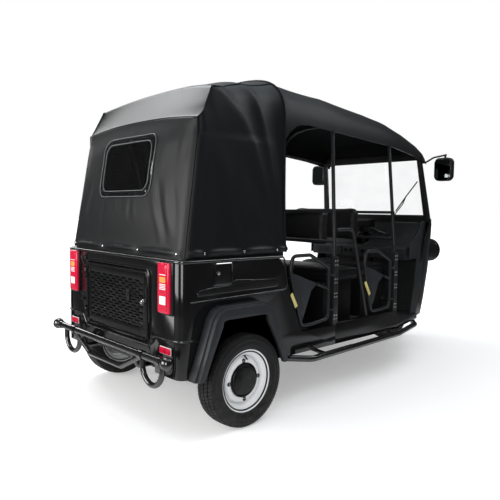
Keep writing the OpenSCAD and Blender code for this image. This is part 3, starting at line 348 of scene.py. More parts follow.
def coat(name, slot, colour, second, rough, rough_to=None, grain=60.0, patch=4.0, bump=0.05,
         weave=0.0, pitch=900.0, dust=0.15, reach=0.6, **constants):
    """Surface finish: two close colours in soft patches, a grain in the relief and thin dust."""
    mat = bpy.data.materials.new(name)
    mat.use_nodes = True
    tree = mat.node_tree
    tree.nodes.clear()
    add = tree_nodes(tree)
    surface = use_group(add, GRAIN, 0, Scale=grain, Patch_Scale=patch)
    relief = surface.node.outputs["Grain"]
    spread = add("ShaderNodeMapRange", Value=surface, From_Min=0.35, From_Max=0.65)
    colour = mixed(add, spread, (*colour, 1), (*second, 1))
    mask = use_group(add, DUST, 0, Amount=dust, Reach=reach)
    colour = mixed(add, mask, colour, DUSTY)
    gloss = add("ShaderNodeMapRange", Value=relief, From_Min=0.3, From_Max=0.7, To_Min=rough,
                To_Max=rough if rough_to is None else rough_to)
    gloss = math_node(add, "ADD", gloss, math_node(add, "MULTIPLY", mask, 0.5))
    normal = add("ShaderNodeBump", Strength=bump, Distance=0.001, Height=relief)
    if weave:
        threads = use_group(add, WEAVE, 0, Pitch=pitch)
        normal = add("ShaderNodeBump", Strength=weave, Distance=0.0006, Height=threads, Normal=normal)
    shader = add("ShaderNodeBsdfPrincipled", Base_Color=colour, Roughness=gloss, Normal=normal)
    for key, value in constants.items():
        shader.node.inputs[key.replace("_", " ")].default_value = value
    sink = tree.nodes.new("ShaderNodeOutputMaterial")
    tree.links.new(shader, sink.inputs[0])
    FINISH[name] = (mat, slot)
    return mat


def clear(name, slot, colour, rough, ior, alpha=1.0, transmission=1.0, ripple=0.0, scale=9.0, thin=True):
    """Clear glass, lens or film with faint waves in its face."""
    mat = bpy.data.materials.new(name)
    mat.use_nodes = True
    tree = mat.node_tree
    tree.nodes.clear()
    add = tree_nodes(tree)
    surface = use_group(add, GRAIN, 0, Scale=scale * 6, Patch_Scale=scale)
    tint = mixed(add, surface, (*colour, 1), (*[c * 0.9 for c in colour], 1))
    normal = add("ShaderNodeBump", Strength=ripple, Distance=0.004, Height=surface)
    gloss = add("ShaderNodeMapRange", Value=surface.node.outputs["Grain"], From_Min=0.3, From_Max=0.7,
                To_Min=rough, To_Max=rough * 1.6 + 0.01)
    shader = add("ShaderNodeBsdfPrincipled", Base_Color=tint, Roughness=gloss, Normal=normal)
    shader.node.inputs["IOR"].default_value = ior
    shader.node.inputs["Transmission Weight"].default_value = transmission
    shader.node.inputs["Alpha"].default_value = alpha
    sink = tree.nodes.new("ShaderNodeOutputMaterial")
    tree.links.new(shader, sink.inputs[0])
    FINISH[name] = (mat, slot)
    return mat


FINISH = {}
coat("body_gloss", "body_black", (0.0035, 0.0035, 0.004), (0.005, 0.005, 0.0055), 0.09, 0.14, grain=350.0,
     bump=0.02, dust=0.04, Specular_IOR_Level=0.55)
coat("bead_gloss", "body_black", (0.0035, 0.0035, 0.004), (0.005, 0.005, 0.0055), 0.10, 0.16, grain=350.0,
     bump=0.02, dust=0.04, IOR=1.9)
coat("satin_black", "frame_black", (0.005, 0.005, 0.0055), (0.009, 0.009, 0.010), 0.34, 0.46, grain=260.0,
     bump=0.12, dust=0.14, Specular_IOR_Level=0.3)
coat("tube_gloss", "tube_black", (0.003, 0.003, 0.0035), (0.005, 0.005, 0.0055), 0.12, 0.2, grain=240.0,
     bump=0.05, dust=0.05, IOR=1.95)
coat("tube_satin", "tube_black", (0.012, 0.013, 0.014), (0.018, 0.019, 0.021), 0.28, 0.38, grain=260.0,
     bump=0.08, dust=0.08, Specular_IOR_Level=0.4)
coat("cast_alloy", "cast_grey", (0.16, 0.165, 0.17), (0.22, 0.22, 0.225), 0.5, 0.66, grain=420.0,
     bump=0.5, dust=0.4, Metallic=0.85)
coat("flare_moulding", "flare_grey", (0.016, 0.018, 0.021), (0.022, 0.024, 0.028), 0.4, 0.52,
     grain=900.0, bump=0.35, dust=0.08, Specular_IOR_Level=0.35)
coat("floor_rubber", "floor_grey", (0.014, 0.015, 0.016), (0.022, 0.023, 0.025), 0.6, 0.75, grain=300.0,
     bump=0.3, dust=0.2, Specular_IOR_Level=0.25)
coat("dash_moulding", "dash_grey", (0.016, 0.017, 0.019), (0.022, 0.024, 0.026), 0.42, 0.55, grain=1100.0,
     bump=0.4, dust=0.08, Specular_IOR_Level=0.3)
coat("canvas_cloth", "canvas", (0.0030, 0.0037, 0.0045), (0.0042, 0.0050, 0.0060), 0.43, 0.53, grain=700.0,
     patch=3.0, bump=0.10, weave=0.06, dust=0.012, IOR=1.42, Specular_IOR_Level=0.5)
coat("canvas_inside", "canvas", (0.005, 0.0055, 0.006), (0.008, 0.0085, 0.009), 0.85, 0.95, grain=500.0,
     bump=0.1, weave=0.1, dust=0.0, IOR=1.2, Specular_IOR_Level=0.3)
coat("seam_cord", "canvas", (0.003, 0.003, 0.0035), (0.005, 0.005, 0.0055), 0.32, 0.45, grain=500.0,
     bump=0.1, dust=0.04, Specular_IOR_Level=0.2)
# welds of the film in opaque grey: painted sheen, standing for the shine of the clear welded vinyl
coat("weld_painted_sheen", "soft_window", (0.16, 0.165, 0.17), (0.22, 0.225, 0.23), 0.12, 0.22, grain=300.0,
     bump=0.15, dust=0.02)
coat("seat_cover", "seat_vinyl", (0.006, 0.006, 0.0065), (0.010, 0.010, 0.011), 0.34, 0.48, grain=520.0,
     bump=0.45, dust=0.05, Specular_IOR_Level=0.3)
coat("moulded_black", "trim_black", (0.006, 0.006, 0.0065), (0.010, 0.010, 0.011), 0.38, 0.5, grain=700.0,
     bump=0.25, dust=0.06, Specular_IOR_Level=0.3)
coat("tyre_black", "tyre_rubber", (0.007, 0.007, 0.0075), (0.012, 0.012, 0.013), 0.42, 0.58, grain=500.0,
     bump=0.4, dust=0.18, reach=0.4, Specular_IOR_Level=0.25)
coat("rim_enamel", "rim_silver", (0.76, 0.77, 0.78), (0.82, 0.83, 0.84), 0.25, 0.36, grain=300.0,
     bump=0.04, dust=0.10, reach=0.5)
coat("cap_gloss", "cap_black", (0.002, 0.0023, 0.0026), (0.004, 0.0045, 0.005), 0.24, 0.34, grain=500.0,
     bump=0.1, dust=0.06, Specular_IOR_Level=0.3)
coat("lamp_shell", "lamp_black", (0.006, 0.006, 0.0065), (0.009, 0.009, 0.010), 0.14, 0.2, grain=300.0,
     bump=0.03, dust=0.06, Specular_IOR_Level=0.3)
coat("lamp_cover", "lamp_red", (0.48, 0.004, 0.030), (0.56, 0.007, 0.042), 0.10, 0.16, grain=200.0,
     bump=0.03, dust=0.03, Coat_Weight=0.6, Coat_Roughness=0.05)
coat("lamp_white", "lamp_red", (0.80, 0.80, 0.79), (0.86, 0.86, 0.85), 0.12, 0.2, grain=200.0, bump=0.03,
     dust=0.03, Coat_Weight=0.5, Coat_Roughness=0.05)
coat("lamp_amber", "lamp_red", (0.72, 0.26, 0.06), (0.80, 0.32, 0.08), 0.12, 0.2, grain=200.0, bump=0.03,
     dust=0.03, Coat_Weight=0.5, Coat_Roughness=0.05)
coat("chrome_plate", "trim_black", (0.72, 0.73, 0.75), (0.78, 0.79, 0.81), 0.06, 0.14, grain=300.0,
     bump=0.03, dust=0.05, Metallic=1.0)
coat("zinc_screw", "frame_black", (0.50, 0.50, 0.51), (0.60, 0.60, 0.61), 0.25, 0.4, grain=400.0,
     bump=0.1, dust=0.1, Metallic=1.0)
coat("tag_blank", "tube_black", (0.55, 0.47, 0.16), (0.62, 0.54, 0.20), 0.35, 0.5, grain=300.0,
     bump=0.08, dust=0.05)
coat("stitch_thread", "canvas", (0.012, 0.013, 0.014), (0.02, 0.021, 0.022), 0.6, 0.75, grain=900.0,
     bump=0.2, dust=0.04, Specular_IOR_Level=0.2)
coat("grip_rubber", "trim_black", (0.010, 0.010, 0.011), (0.015, 0.015, 0.016), 0.55, 0.7, grain=500.0,
     bump=0.3, dust=0.06, Specular_IOR_Level=0.25)
coat("mirror_face", "trim_black", (0.16, 0.17, 0.18), (0.20, 0.21, 0.22), 0.03, 0.05, grain=60.0,
     bump=0.005, dust=0.02, Metallic=1.0)
clear("screen_glass", "clear_glass", (0.985, 0.995, 1.0), 0.01, 1.22, ripple=0.01)
clear("lamp_lens", "lens", (0.94, 0.96, 0.97), 0.02, 1.45, ripple=0.2, scale=30.0)
clear("window_film", "soft_window", (0.55, 0.58, 0.60), 0.05, 1.42, ripple=0.35, scale=14.0)


# ---------------------------------------------------------------- hood and roof cloth
ROOF = [(-262, 589, 1590, 1540, 1626), (-240, 589, 1590, 1540, 1647), (-75, 592, 1585, 1540, 1838),
        (100, 592, 1578, 1540, 1884), (350, 604, 1540, 1540, 1930), (400, 603, 1600, 1530, 1930),
        (460, 600, 1640, 1520, 1928), (545, 597, 1662, 1510, 1924), (895, 588, 1645, 1490, 1908),
        (1300, 570, 1628, 1470, 1878), (1560, 556, 1617, 1450, 1848), (1800, 536, 1592, 1430, 1800),
        (2000, 515, 1560, 1410, 1744), (2090, 506, 1540, 1400, 1702), (2118, 502, 1536, 1400, 1650)]
WALL = [(905, 619, 621, -363), (928, 618, 620, -360), (1038, 613, 615, -343), (1147, 608, 609, -326),
        (1240, 604, 606, -311), (1404, 597, 604, -286), (1540, 592, 604, -264), (1610, 590, 603, -254),
        (1660, 589, 603, -247)]
HEM, BASE, FRONT, SEAM_ROUND = 907.0, 1540.0, 350.0, 60.0
# bows of the hood: foot and crown distance, crown height
BOWS = [(262, -58, 1842), (300, 105, 1884), (338, 350, 1930)]
CORNER = 1 - math.sqrt(0.5)


def bow_y(bow, z):
    foot, crown, top = bow
    return foot + (crown - foot) * clamp((z - 900) / (top - 900)) ** 1.9


def seam_angle(y):
    return lerp(22.5, 50.0, ease(-90, 70, y))


def round_in(y, back):
    """How far the side draws in where it turns round the rear corner."""
    d = clamp((y - back) / SEAM_ROUND, CORNER, 1)
    return SEAM_ROUND * (1 - math.sqrt(1 - (1 - d) ** 2))


def roof_point(y, angle):
    _, w, _, zb, zc = table(ROOF, y)
    back = table(WALL, 1600)[3]
    w -= round_in(y, back)
    a = math.radians(angle)
    x, z = w * math.cos(a) ** 0.5, zb + (zc - zb) * math.sin(a) ** 0.5
    # a flat arch over square shoulders at the rear, rounder further on
    shoulder, rear = math.radians(22.5), ease(80, -80, y)
    slope = clamp((y + 236) / 161)
    xs, zs = w * lerp(0.996, 0.96, slope), zb + (zc - zb) * lerp(0.69, 0.80, slope)
    if a < shoulder:
        t = a / shoulder
        arch = w - (w - xs) * t * t, zb + (zs - zb) * t
    else:
        u = xs * math.cos((a - shoulder) / (math.pi / 2 - shoulder) * math.pi / 2)
        arch = u, zs + (zc - zs) * (1 - (u / xs) ** 2.3)
    return lerp(x, arch[0], rear), y, lerp(z, arch[1], rear)


def side_point(v, z):
    """Point of the side wall at height z, where v runs from the rear seam to the front edge."""
    _, rear, front, back = table(WALL, z)
    y0 = back + SEAM_ROUND * CORNER
    y = lerp(y0, FRONT, v)
    w = lerp(rear, front, clamp((y - back - 90) / (FRONT - back - 90)))
    return w - round_in(y, back), y, z


def even(curve, n):
    """n + 1 points spaced evenly along a function of 0 to 1."""
    fine = [Vector(curve(i / 160)) for i in range(161)]
    run = [0.0]
    for a, b in zip(fine, fine[1:]):
        run.append(run[-1] + (b - a).length)
    out, k = [], 0
    for i in range(n + 1):
        goal = run[-1] * i / n
        while k < 159 and run[k + 1] < goal:
            k += 1
        t = (goal - run[k]) / max(run[k + 1] - run[k], 1e-9)
        out.append(fine[k].lerp(fine[k + 1], clamp(t)))
    return out


WALL_ROWS, GORE_ROWS, TOP_ROWS, HOOD_COLS = 54, 14, 40, 52


def section(y, first):
    """Right half of the roof from the base or edge to the crown: gore rows, then top rows."""
    seam = seam_angle(y)
    low = first
    gore = even(lambda t: roof_point(y, lerp(low, seam, t ** 2.2)), GORE_ROWS)
    top = even(lambda t: roof_point(y, lerp(seam, 90, t)), TOP_ROWS)
    return gore + top[1:]


def valley(s, depth):
    return -depth * (1 - abs(2 * s - 1) ** 2.2)


def hood_sag(y, z):
    """How far cloth between two bows hangs in, at a place on the side or the top."""
    lines = [-262.0] + [bow_y(b, z) for b in BOWS]
    fade = ease(1080, 1560, z)
    for i, (a, b) in enumerate(zip(lines, lines[1:])):
        if a <= y <= b and b - a > 1:
            depth = (5, 15, 19)[i] * clamp((b - a) / 150, 0.2, 1)
            return valley((y - a) / (b - a), depth) * fade
    return 0.0


ROOF_BOWS = [350.0, 830.0, 1515.0, 2118.0]


def roof_sag(y):
    for a, b, depth in zip(ROOF_BOWS, ROOF_BOWS[1:], (9, 7, 4)):
        if a <= y <= b:
            return valley((y - a) / (b - a), depth)
    return 0.0


# soft folds: two ends in the plane of a wall, half width and height, all in millimetres
REAR_FOLDS = [
    (330, 1310, 452, 985, 18, -5.2), (392, 1290, 500, 1010, 20, 4.8), (300, 1240, 408, 960, 20, 3.6),
    (470, 1280, 520, 1060, 13, -3.2), (545, 1590, 520, 1400, 15, -3.6), (505, 1600, 490, 1430, 14, 2.6),
    (470, 1604, 440, 1350, 26, -2.0), (90, 1215, 106, 1080, 11, -2.2), (50, 1220, 58, 1100, 9, 1.7),
    (130, 1215, 146, 1080, 10, 1.8), (8, 1222, -2, 1130, 8, -1.5), (-60, 1222, -68, 1130, 9, 1.4),
    (-200, 1225, -215, 990, 26, -1.8), (-330, 1300, -470, 980, 34, 2.2), (-420, 1330, -520, 1030, 24, -2.2),
    (380, 1560, 330, 1330, 34, 1.6), (-540, 1580, -520, 1380, 22, -2.4), (0, 1625, 20, 1570, 30, 1.2)]
SIDE_FOLDS = [
    (-215, 1480, -290, 1000, 30, -4.0), (-60, 1130, 20, 930, 26, 4.0), (-160, 1060, -225, 940, 20, 4.0),
    (200, 1080, 285, 940, 20, -4.5), (140, 1120, 265, 945, 22, 4.0), (320, 1500, 325, 1050, 12, -3.0),
    (60, 1420, 190, 1120, 40, -3.5), (-120, 1480, -60, 1180, 44, 3.0), (300, 1400, 306, 1000, 14, 2.5)]


def fold_height(folds, p, q):
    total = 0.0
    for x0, z0, x1, z1, half, high in folds:
        dx, dz = x1 - x0, z1 - z0
        run = math.hypot(dx, dz)
        t = ((p - x0) * dx + (q - z0) * dz) / (run * run)
        if -0.15 < t < 1.15:
            off = ((p - x0) * dz - (q - z0) * dx) / run
            bend = 6 * math.sin(t * 4.2 + x0)
            total += high * math.exp(-((off + bend) / half) ** 2) * ease(-0.15, 0.3, t) * ease(1.15, 0.6, t)
    return total


REAR_SNAPS = [-560, -190, 190, 560]
SIDE_SNAPS = [-232, 30, 283]


def swell(x, z):
    """How far the rear wall stands out between its corners."""
    return 28 * (1 - min(abs(x) / 560, 1) ** 2.6) * ease(915, 1150, z) * ease(1650, 1480, z)


def hem_roll(p, z, snaps, ends):
    """Hem that bulges between its snap buttons and lies flat at them."""
    marks = sorted(snaps + list(ends))
    for a, b in zip(marks, marks[1:]):
        if a <= p <= b:
            bulge = math.sin(math.pi * (p - a) / (b - a)) ** 0.75
            roll = 15.0 * bulge * math.exp(-((z - HEM - 24) / 15) ** 2)
            pinch = 3.0 * math.exp(-((z - HEM - 20) / 12) ** 2) * (1 - bulge) ** 3
            return roll - pinch, 9.0 * bulge * ease(HEM + 46, HEM, z)
    return 0.0, 0.0


def hood_mesh():
    """Hood and roof as one sheet: side walls and roof as one grid, and the rear wall on its rear edge."""
    half_rows = WALL_ROWS + GORE_ROWS + TOP_ROWS
    total = 2 * half_rows + 1
    roof_ys = [lerp(FRONT, 2118, j / 96) for j in range(1, 97)]
    verts, index = [], {}
    for j in range(HOOD_COLS + 1):
        v = (j / HOOD_COLS) ** 1.25
        wall = [Vector(side_point(v, lerp(HEM, BASE, (i / WALL_ROWS) ** 1.35))) for i in range(WALL_ROWS)]
        y = side_point(v, BASE)[1]
        upper = section(y, 0.0)
        half = wall + upper
        for i in range(total):
            k = i if i <= half_rows else 2 * half_rows - i
            x, yy, z = half[k]
            sign = 1 if i <= half_rows else -1
            sag = hood_sag(yy, z)
            # the first bow leans back at its two corners
            yy -= 78 * min(x / 568, 1) ** 2 * clamp((yy + 236) / 161) * ease(130, -75, yy) * ease(1520, 1700, z)
            if k < WALL_ROWS:
                lump = fold_height(SIDE_FOLDS, yy, z) * ease(0, 0.1, v)
                roll, lift = hem_roll(yy, z, SIDE_SNAPS, (-340, FRONT + 30))
                out = Vector((1, 0, 0.03))
                move = out * (sag + lump + roll * ease(0, 0.08, v)) + Vector((0, 0, lift))
            else:
                a = clamp((k - WALL_ROWS) / (half_rows - WALL_ROWS))
                out = Vector((math.cos(a * math.pi / 2) ** 1.2, -0.25 * ease(0, -200, yy), math.sin(a * math.pi / 2)))
                move = out.normalized() * sag
            p = Vector((x, yy, z)) + move
            index[j, i] = len(verts)
            verts.append(at(p.x * sign, p.y, p.z))
    faces = []
    for j in range(HOOD_COLS):
        for i in range(total - 1):
            faces.append((index[j, i], index[j + 1, i], index[j + 1, i + 1], index[j, i + 1]))
    # roof ahead of the hood
    skip = WALL_ROWS
    before = [index[HOOD_COLS, i] for i in range(skip, total - skip)]
    for y in roof_ys:
        _, _, ze, zb, zc = table(ROOF, y)
        first = math.degrees(math.asin(clamp((ze - zb) / (zc - zb), 0.0001, 1) ** 2))
        half = section(y, first)
        drop = roof_sag(y) - 7 * ease(FRONT, FRONT + 30, y)
        row = []
        for i in range(2 * (half_rows - skip) + 1):
            k = i if i <= half_rows - skip else 2 * (half_rows - skip) - i
            x, yy, z = half[k]
            sign = 1 if i <= half_rows - skip else -1
            a = k / (half_rows - skip)
            move = Vector((math.cos(a * math.pi / 2) ** 1.2 * 0.6, 0, math.sin(a * math.pi / 2))) * drop
            row.append(len(verts))
            verts.append(at((x + move.x) * sign, yy, z + move.z))
        for a, b, c, d in zip(before, row, row[1:], before[1:]):
            faces.append((a, b, c, d))
        before = row
    # rear wall
    rows = WALL_ROWS + GORE_ROWS
    cols = 2 * TOP_ROWS
    top = [index[0, rows + k] for k in range(cols + 1)]
    grid = {}
    for k in range(cols + 1):
        grid[rows, k] = top[k]
    corner_top = verts[top[0]]
    crown_top = verts[top[TOP_ROWS]]
    for m in range(rows):
        right, left = index[0, m], index[0, total - 1 - m]
        grid[m, 0], grid[m, cols] = right, left
        c = verts[right] * 1000
        zc = lerp(HEM, crown_top.z * 1000, (c.z - HEM) / (corner_top.z * 1000 - HEM))
        for k in range(1, cols):
            t = verts[top[k]]
            x = t.x / corner_top.x * c.x
            rise = (t.z - corner_top.z) / (crown_top.z - corner_top.z)
            z = lerp(c.z, zc, rise)
            _, w, _, back = table(WALL, z)
            d = abs(x) - (w - SEAM_ROUND)
            y = back
            if d > 0:
                y = back + SEAM_ROUND - math.sqrt(max(SEAM_ROUND ** 2 - d * d, 0))
            lump = fold_height(REAR_FOLDS, x, z)
            roll, lift = hem_roll(x, z, REAR_SNAPS, (-620, 620))
            edge = ease(0, 3, min(k, cols - k))
            out = (lump * ease(rows, rows - 8, m) + roll) * edge
            grid[m, k] = len(verts)
            verts.append(at(x, y - out - swell(x, z) * edge, z + lift * edge))
    for m in range(rows):
        for k in range(cols):
            faces.append((grid[m, k], grid[m + 1, k], grid[m + 1, k + 1], grid[m, k + 1]))
    lines = {
        "rear_edge": [verts[i].copy() for i in top],
        "corner_right": [verts[grid[m, 0]].copy() for m in range(rows + 1)],
        "corner_left": [verts[grid[m, cols]].copy() for m in range(rows + 1)],
        "gore_right": [verts[index[j, rows]].copy() for j in range(HOOD_COLS + 1)],
        "gore_left": [verts[index[j, total - 1 - rows]].copy() for j in range(HOOD_COLS + 1)],
        "front_edge": [verts[index[HOOD_COLS, i]].copy() for i in range(total)],
        "hem_rear": [verts[grid[0, k]].copy() for k in range(cols + 1)],
        "hem_right": [verts[index[j, 0]].copy() for j in range(HOOD_COLS + 1)],
        "hem_left": [verts[index[j, total - 1]].copy() for j in range(HOOD_COLS + 1)]}
    return verts, faces, lines


# window in the rear wall and the film over it: half width, foot and head up the leaning wall, corner
WINDOW = (240.0, 330.0, 596.0, 52.0)
FILM = (282.0, 288.0, 640.0, 70.0)
LEAN = math.atan((360 - 254) / (1610 - 928))


def wall_place(x, s, out=0.0):
    """Place on the flat of the rear wall: x across, s up the lean from the hem line, out from the cloth."""
    z = 928 + s * math.cos(LEAN)
    y = table(WALL, z)[3] - swell(x, z)
    return at(x, y - out * math.cos(LEAN), z + out * math.sin(LEAN))


def wall_s(z):
    return (z - 928) / math.cos(LEAN)


def window_offset(x, s, edge=WINDOW):
    """Distance outside a rounded edge on the wall, negative inside it."""
    half, low, high, r = edge
    dx, ds = abs(x) - half + r, abs(s - (low + high) / 2) - (high - low) / 2 + r
    return math.hypot(max(dx, 0), max(ds, 0)) + min(max(dx, ds), 0) - r


def to_edge(x, s, edge):
    """Nearest place on a rounded edge."""
    for _ in range(5):
        d = window_offset(x, s, edge)
        gx = window_offset(x + 0.5, s, edge) - window_offset(x - 0.5, s, edge)
        gs = window_offset(x, s + 0.5, edge) - window_offset(x, s - 0.5, edge)
        x, s = x - d * gx, s - d * gs
    return x, s


def make_canopy():
    verts, faces, lines = hood_mesh()
    mesh = new_mesh("canopy_cloth", verts, faces)
    bm = bmesh.new()
    bm.from_mesh(mesh)
    inside = []
    for f in bm.faces:
        c = f.calc_center_median() * 1000
        y = c.y + MID
        if y < -200 and abs(c.x) < 300 and window_offset(c.x, wall_s(c.z)) < 0:
            inside.append(f)
    bmesh.ops.delete(bm, geom=inside, context="FACES")
    for v in bm.verts:
        if not v.is_boundary:
            continue
        x, y, z = v.co.x * 1000, v.co.y * 1000 + MID, v.co.z * 1000
        if y > -200 or abs(x) > 300 or not 1150 < z < 1600:
            continue
        v.co = wall_place(*to_edge(x, wall_s(z), WINDOW))
    bmesh.ops.remove_doubles(bm, verts=bm.verts, dist=2e-4)
    bm.to_mesh(mesh)
    bm.free()
    ob = place("canopy_cloth", mesh, "canvas_cloth", smooth=60)
    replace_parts(ob, "canopy")
    mod = ob.modifiers.new("wall", "SOLIDIFY")
    mod.thickness = 0.003
    mod.offset = -1
    mod.material_offset = 1
    ob.data.materials.append(FINISH["canvas_inside"][0])
    baked(ob)
    soften(ob.data, 60)
    return ob, lines


canopy, LINES = make_canopy()


def along(points, radius, name, finish, sides=8, closed=False, body="vehicle", smooth=80):
    return place(name, new_mesh(name, *sweep(points, radius, sides, closed)), finish, body, smooth)


def moved(points, out):
    """Points pushed a little away from the middle of the hood, in millimetres."""
    result = []
    for p in points:
        away = Vector((p.x, 0.55 * (p.y - 0.2), 0.9 * (p.z - 1.25)))
        result.append(p + away.normalized() * out / 1000)
    return result


def piping():
    parts = []
    for key in ("corner_right", "corner_left", "rear_edge", "gore_right", "gore_left"):
        parts.append(sweep(moved(LINES[key], 1.5), 0.0032, 8))
    parts.append(sweep(moved(LINES["front_edge"], 0.5), 0.006, 8))
    mesh = new_mesh("canopy_piping", *joined(parts))
    return place("canopy_piping", mesh, "seam_cord", smooth=80)


canopy_piping = piping()

# window film, welded on outside the hole
def film_out(x, s):
    """How far the film stands off the cloth: waves over the hole, puckers along the two welds."""
    d = window_offset(x, s)
    wave = 1.2 * math.sin(x * 0.021 + s * 0.013) * math.sin(s * 0.03 - x * 0.006)
    wave += 0.8 * noise.noise(Vector((x * 0.014, s * 0.02, 3.1)))
    pucker = noise.noise(Vector((x * 0.09, s * 0.008, 1.7))) + 0.5 * noise.noise(Vector((x * 0.2, s * 0.01, 5.2)))
    band = math.exp(-((d - 20) / 16) ** 2)
    fold = fold_height(REAR_FOLDS, x, 928 + s * math.cos(LEAN))
    return 3.6 + wave * ease(0, -40, d) + 2.6 * pucker * band + fold * ease(-30, 20, d)


def film_mesh():
    half, low, high, _ = FILM
    nx, ns = 84, 60
    mid = (low + high) / 2
    verts, faces = [], []
    for j in range(ns + 1):
        for i in range(nx + 1):
            u, v = 2 * i / nx - 1, 2 * j / ns - 1
            m = max(abs(u), abs(v), 1e-6)
            x, s = to_edge(half * u / m, mid + (high - low) / 2 * v / m, FILM)
            x, s = x * m, mid + (s - mid) * m
            verts.append(wall_place(x, s, film_out(x, s)))
    for j in range(ns):
        for i in range(nx):
            a = j * (nx + 1) + i
            faces.append((a, a + 1, a + nx + 2, a + nx + 1))
    return verts, faces


film = place("window_film", new_mesh("window_film", *film_mesh()), "window_film", smooth=80)
mod = film.modifiers.new("wall", "SOLIDIFY")
mod.thickness = 0.0008
mod.offset = 1
baked(film)
soften(film.data, 60)


def weld_line(edge, shrink):
    """Bead of a weld: an edge drawn in by shrink and laid on the film."""
    half, low, high, r = edge
    ring = rounded(-half + shrink, half - shrink, low + shrink, high - shrink, max(r - shrink, 6), 10)
    points = []
    for (x0, s0), (x1, s1) in zip(ring, ring[1:] + ring[:1]):
        steps = max(1, int(math.hypot(x1 - x0, s1 - s0) / 9))
        points += [(lerp(x0, x1, k / steps), lerp(s0, s1, k / steps)) for k in range(steps)]
    return sweep([wall_place(x, s, film_out(x, s) + 1.0) for x, s in points], 0.0016, 6, True)


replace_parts(film, "hood_window")


# ---------------------------------------------------------------- repeated parts
def parts_tree():
    """Sets a copy of one part at every point, turned as the point says, with slightly varied sizes."""
    tree = bpy.data.node_groups.new("parts_at_points", "GeometryNodeTree")
    face = tree.interface
    for label, kind in (("Geometry", "Geometry"), ("Part", "Object"), ("Size", "Float"), ("Play", "Float"),
                        ("Seed", "Int"), ("Finish", "Material")):
        face.new_socket(label, in_out="INPUT", socket_type="NodeSocket" + kind)
    face.new_socket("Geometry", in_out="OUTPUT", socket_type="NodeSocketGeometry")
    given = tree.nodes.new("NodeGroupInput").outputs
    sink = tree.nodes.new("NodeGroupOutput")
    turn = tree.nodes.new("GeometryNodeInputNamedAttribute")
    turn.data_type = "FLOAT_VECTOR"
    turn.inputs["Name"].default_value = "turn"
    info = tree.nodes.new("GeometryNodeObjectInfo")
    size = tree.nodes.new("FunctionNodeRandomValue")
    low = tree.nodes.new("ShaderNodeMath")
    low.operation = "SUBTRACT"
    high = tree.nodes.new("ShaderNodeMath")
    spread = tree.nodes.new("GeometryNodeInstanceOnPoints")
    real = tree.nodes.new("GeometryNodeRealizeInstances")
    paint = tree.nodes.new("GeometryNodeSetMaterial")
    link = tree.links.new
    link(given["Part"], info.inputs["Object"])
    for node in (low, high):
        link(given["Size"], node.inputs[0])
        link(given["Play"], node.inputs[1])
    link(low.outputs[0], size.inputs[2])
    link(high.outputs[0], size.inputs[3])
    link(given["Seed"], size.inputs["Seed"])
    link(given["Geometry"], spread.inputs["Points"])
    link(info.outputs["Geometry"], spread.inputs["Instance"])
    link(turn.outputs[0], spread.inputs["Rotation"])
    link(size.outputs[1], spread.inputs["Scale"])
    link(spread.outputs[0], real.inputs[0])
    link(real.outputs[0], paint.inputs["Geometry"])
    link(given["Finish"], paint.inputs["Material"])
    link(paint.outputs[0], sink.inputs[0])
    return tree


PARTS_TREE = parts_tree()


def repeated(name, part, spots, finish, body="vehicle", play=0.0, seed=1, smooth=35):
    """One piece of many copies of part, a (verts, faces) pair with its foot at the origin and its axis
    along Z. spots: (place, direction of its Z, direction of its X)."""
    mould = bpy.data.objects.new(name + "_mould", new_mesh(name + "_mould", *part))
    bpy.context.scene.collection.objects.link(mould)
    points = bpy.data.meshes.new(name)
    points.from_pydata([tuple(s[0]) for s in spots], [], [])
    turns = points.attributes.new("turn", "FLOAT_VECTOR", "POINT")
    for i, (_, up_to, x_to) in enumerate(spots):
        z = Vector(up_to).normalized()
        x = Vector(x_to)
        x = (x - z * x.dot(z)).normalized()
        turns.data[i].vector = Matrix((x, z.cross(x), z)).transposed().to_euler()
    ob = bpy.data.objects.new(name, points)
    bpy.context.scene.collection.objects.link(ob)
    mod = ob.modifiers.new("parts", "NODES")
    mod.node_group = PARTS_TREE
    sockets = {s.name: s.identifier for s in PARTS_TREE.interface.items_tree if s.in_out == "INPUT"}
    for label, value in (("Part", mould), ("Size", 1.0), ("Play", play), ("Seed", seed),
                         ("Finish", FINISH[finish][0])):
        mod[sockets[label]] = value
    baked(ob)
    mesh = ob.data
    bpy.data.objects.remove(ob)
    bpy.data.objects.remove(mould)
    return place(name, mesh, finish, body, smooth)


def tidy(verts, faces):
    """(verts, faces) with doubles merged and faces turned outwards."""
    mesh = new_mesh("tidy", verts, faces)
    outward(mesh)
    pair = [v.co.copy() for v in mesh.vertices], [tuple(p.vertices) for p in mesh.polygons]
    bpy.data.meshes.remove(mesh)
    return pair


def rounded(x0, x1, z0, z1, r, n=5):
    """Outline of a rectangle with round corners, anticlockwise."""
    out = []
    for cx, cz, a0 in ((x1 - r, z0 + r, -90), (x1 - r, z1 - r, 0), (x0 + r, z1 - r, 90), (x0 + r, z0 + r, 180)):
        for k in range(n + 1):
            a = math.radians(a0 + 90 * k / n)
            out.append((cx + r * math.cos(a), cz + r * math.sin(a)))
    return out


def drawn_in(outline, d):
    out = []
    n = len(outline)
    for i in range(n):
        (ax, az), (bx, bz), (cx, cz) = outline[i - 1], outline[i], outline[(i + 1) % n]
        n1 = Vector((az - bz, bx - ax)).normalized() if (ax, az) != (bx, bz) else Vector((0, 0))
        n2 = Vector((bz - cz, cx - bx)).normalized() if (bx, bz) != (cx, cz) else Vector((0, 0))
        m = n1 + n2
        m = m / max(m.length_squared / 2, 0.3)
        out.append((bx + m.x * d, bz + m.y * d))
    return out


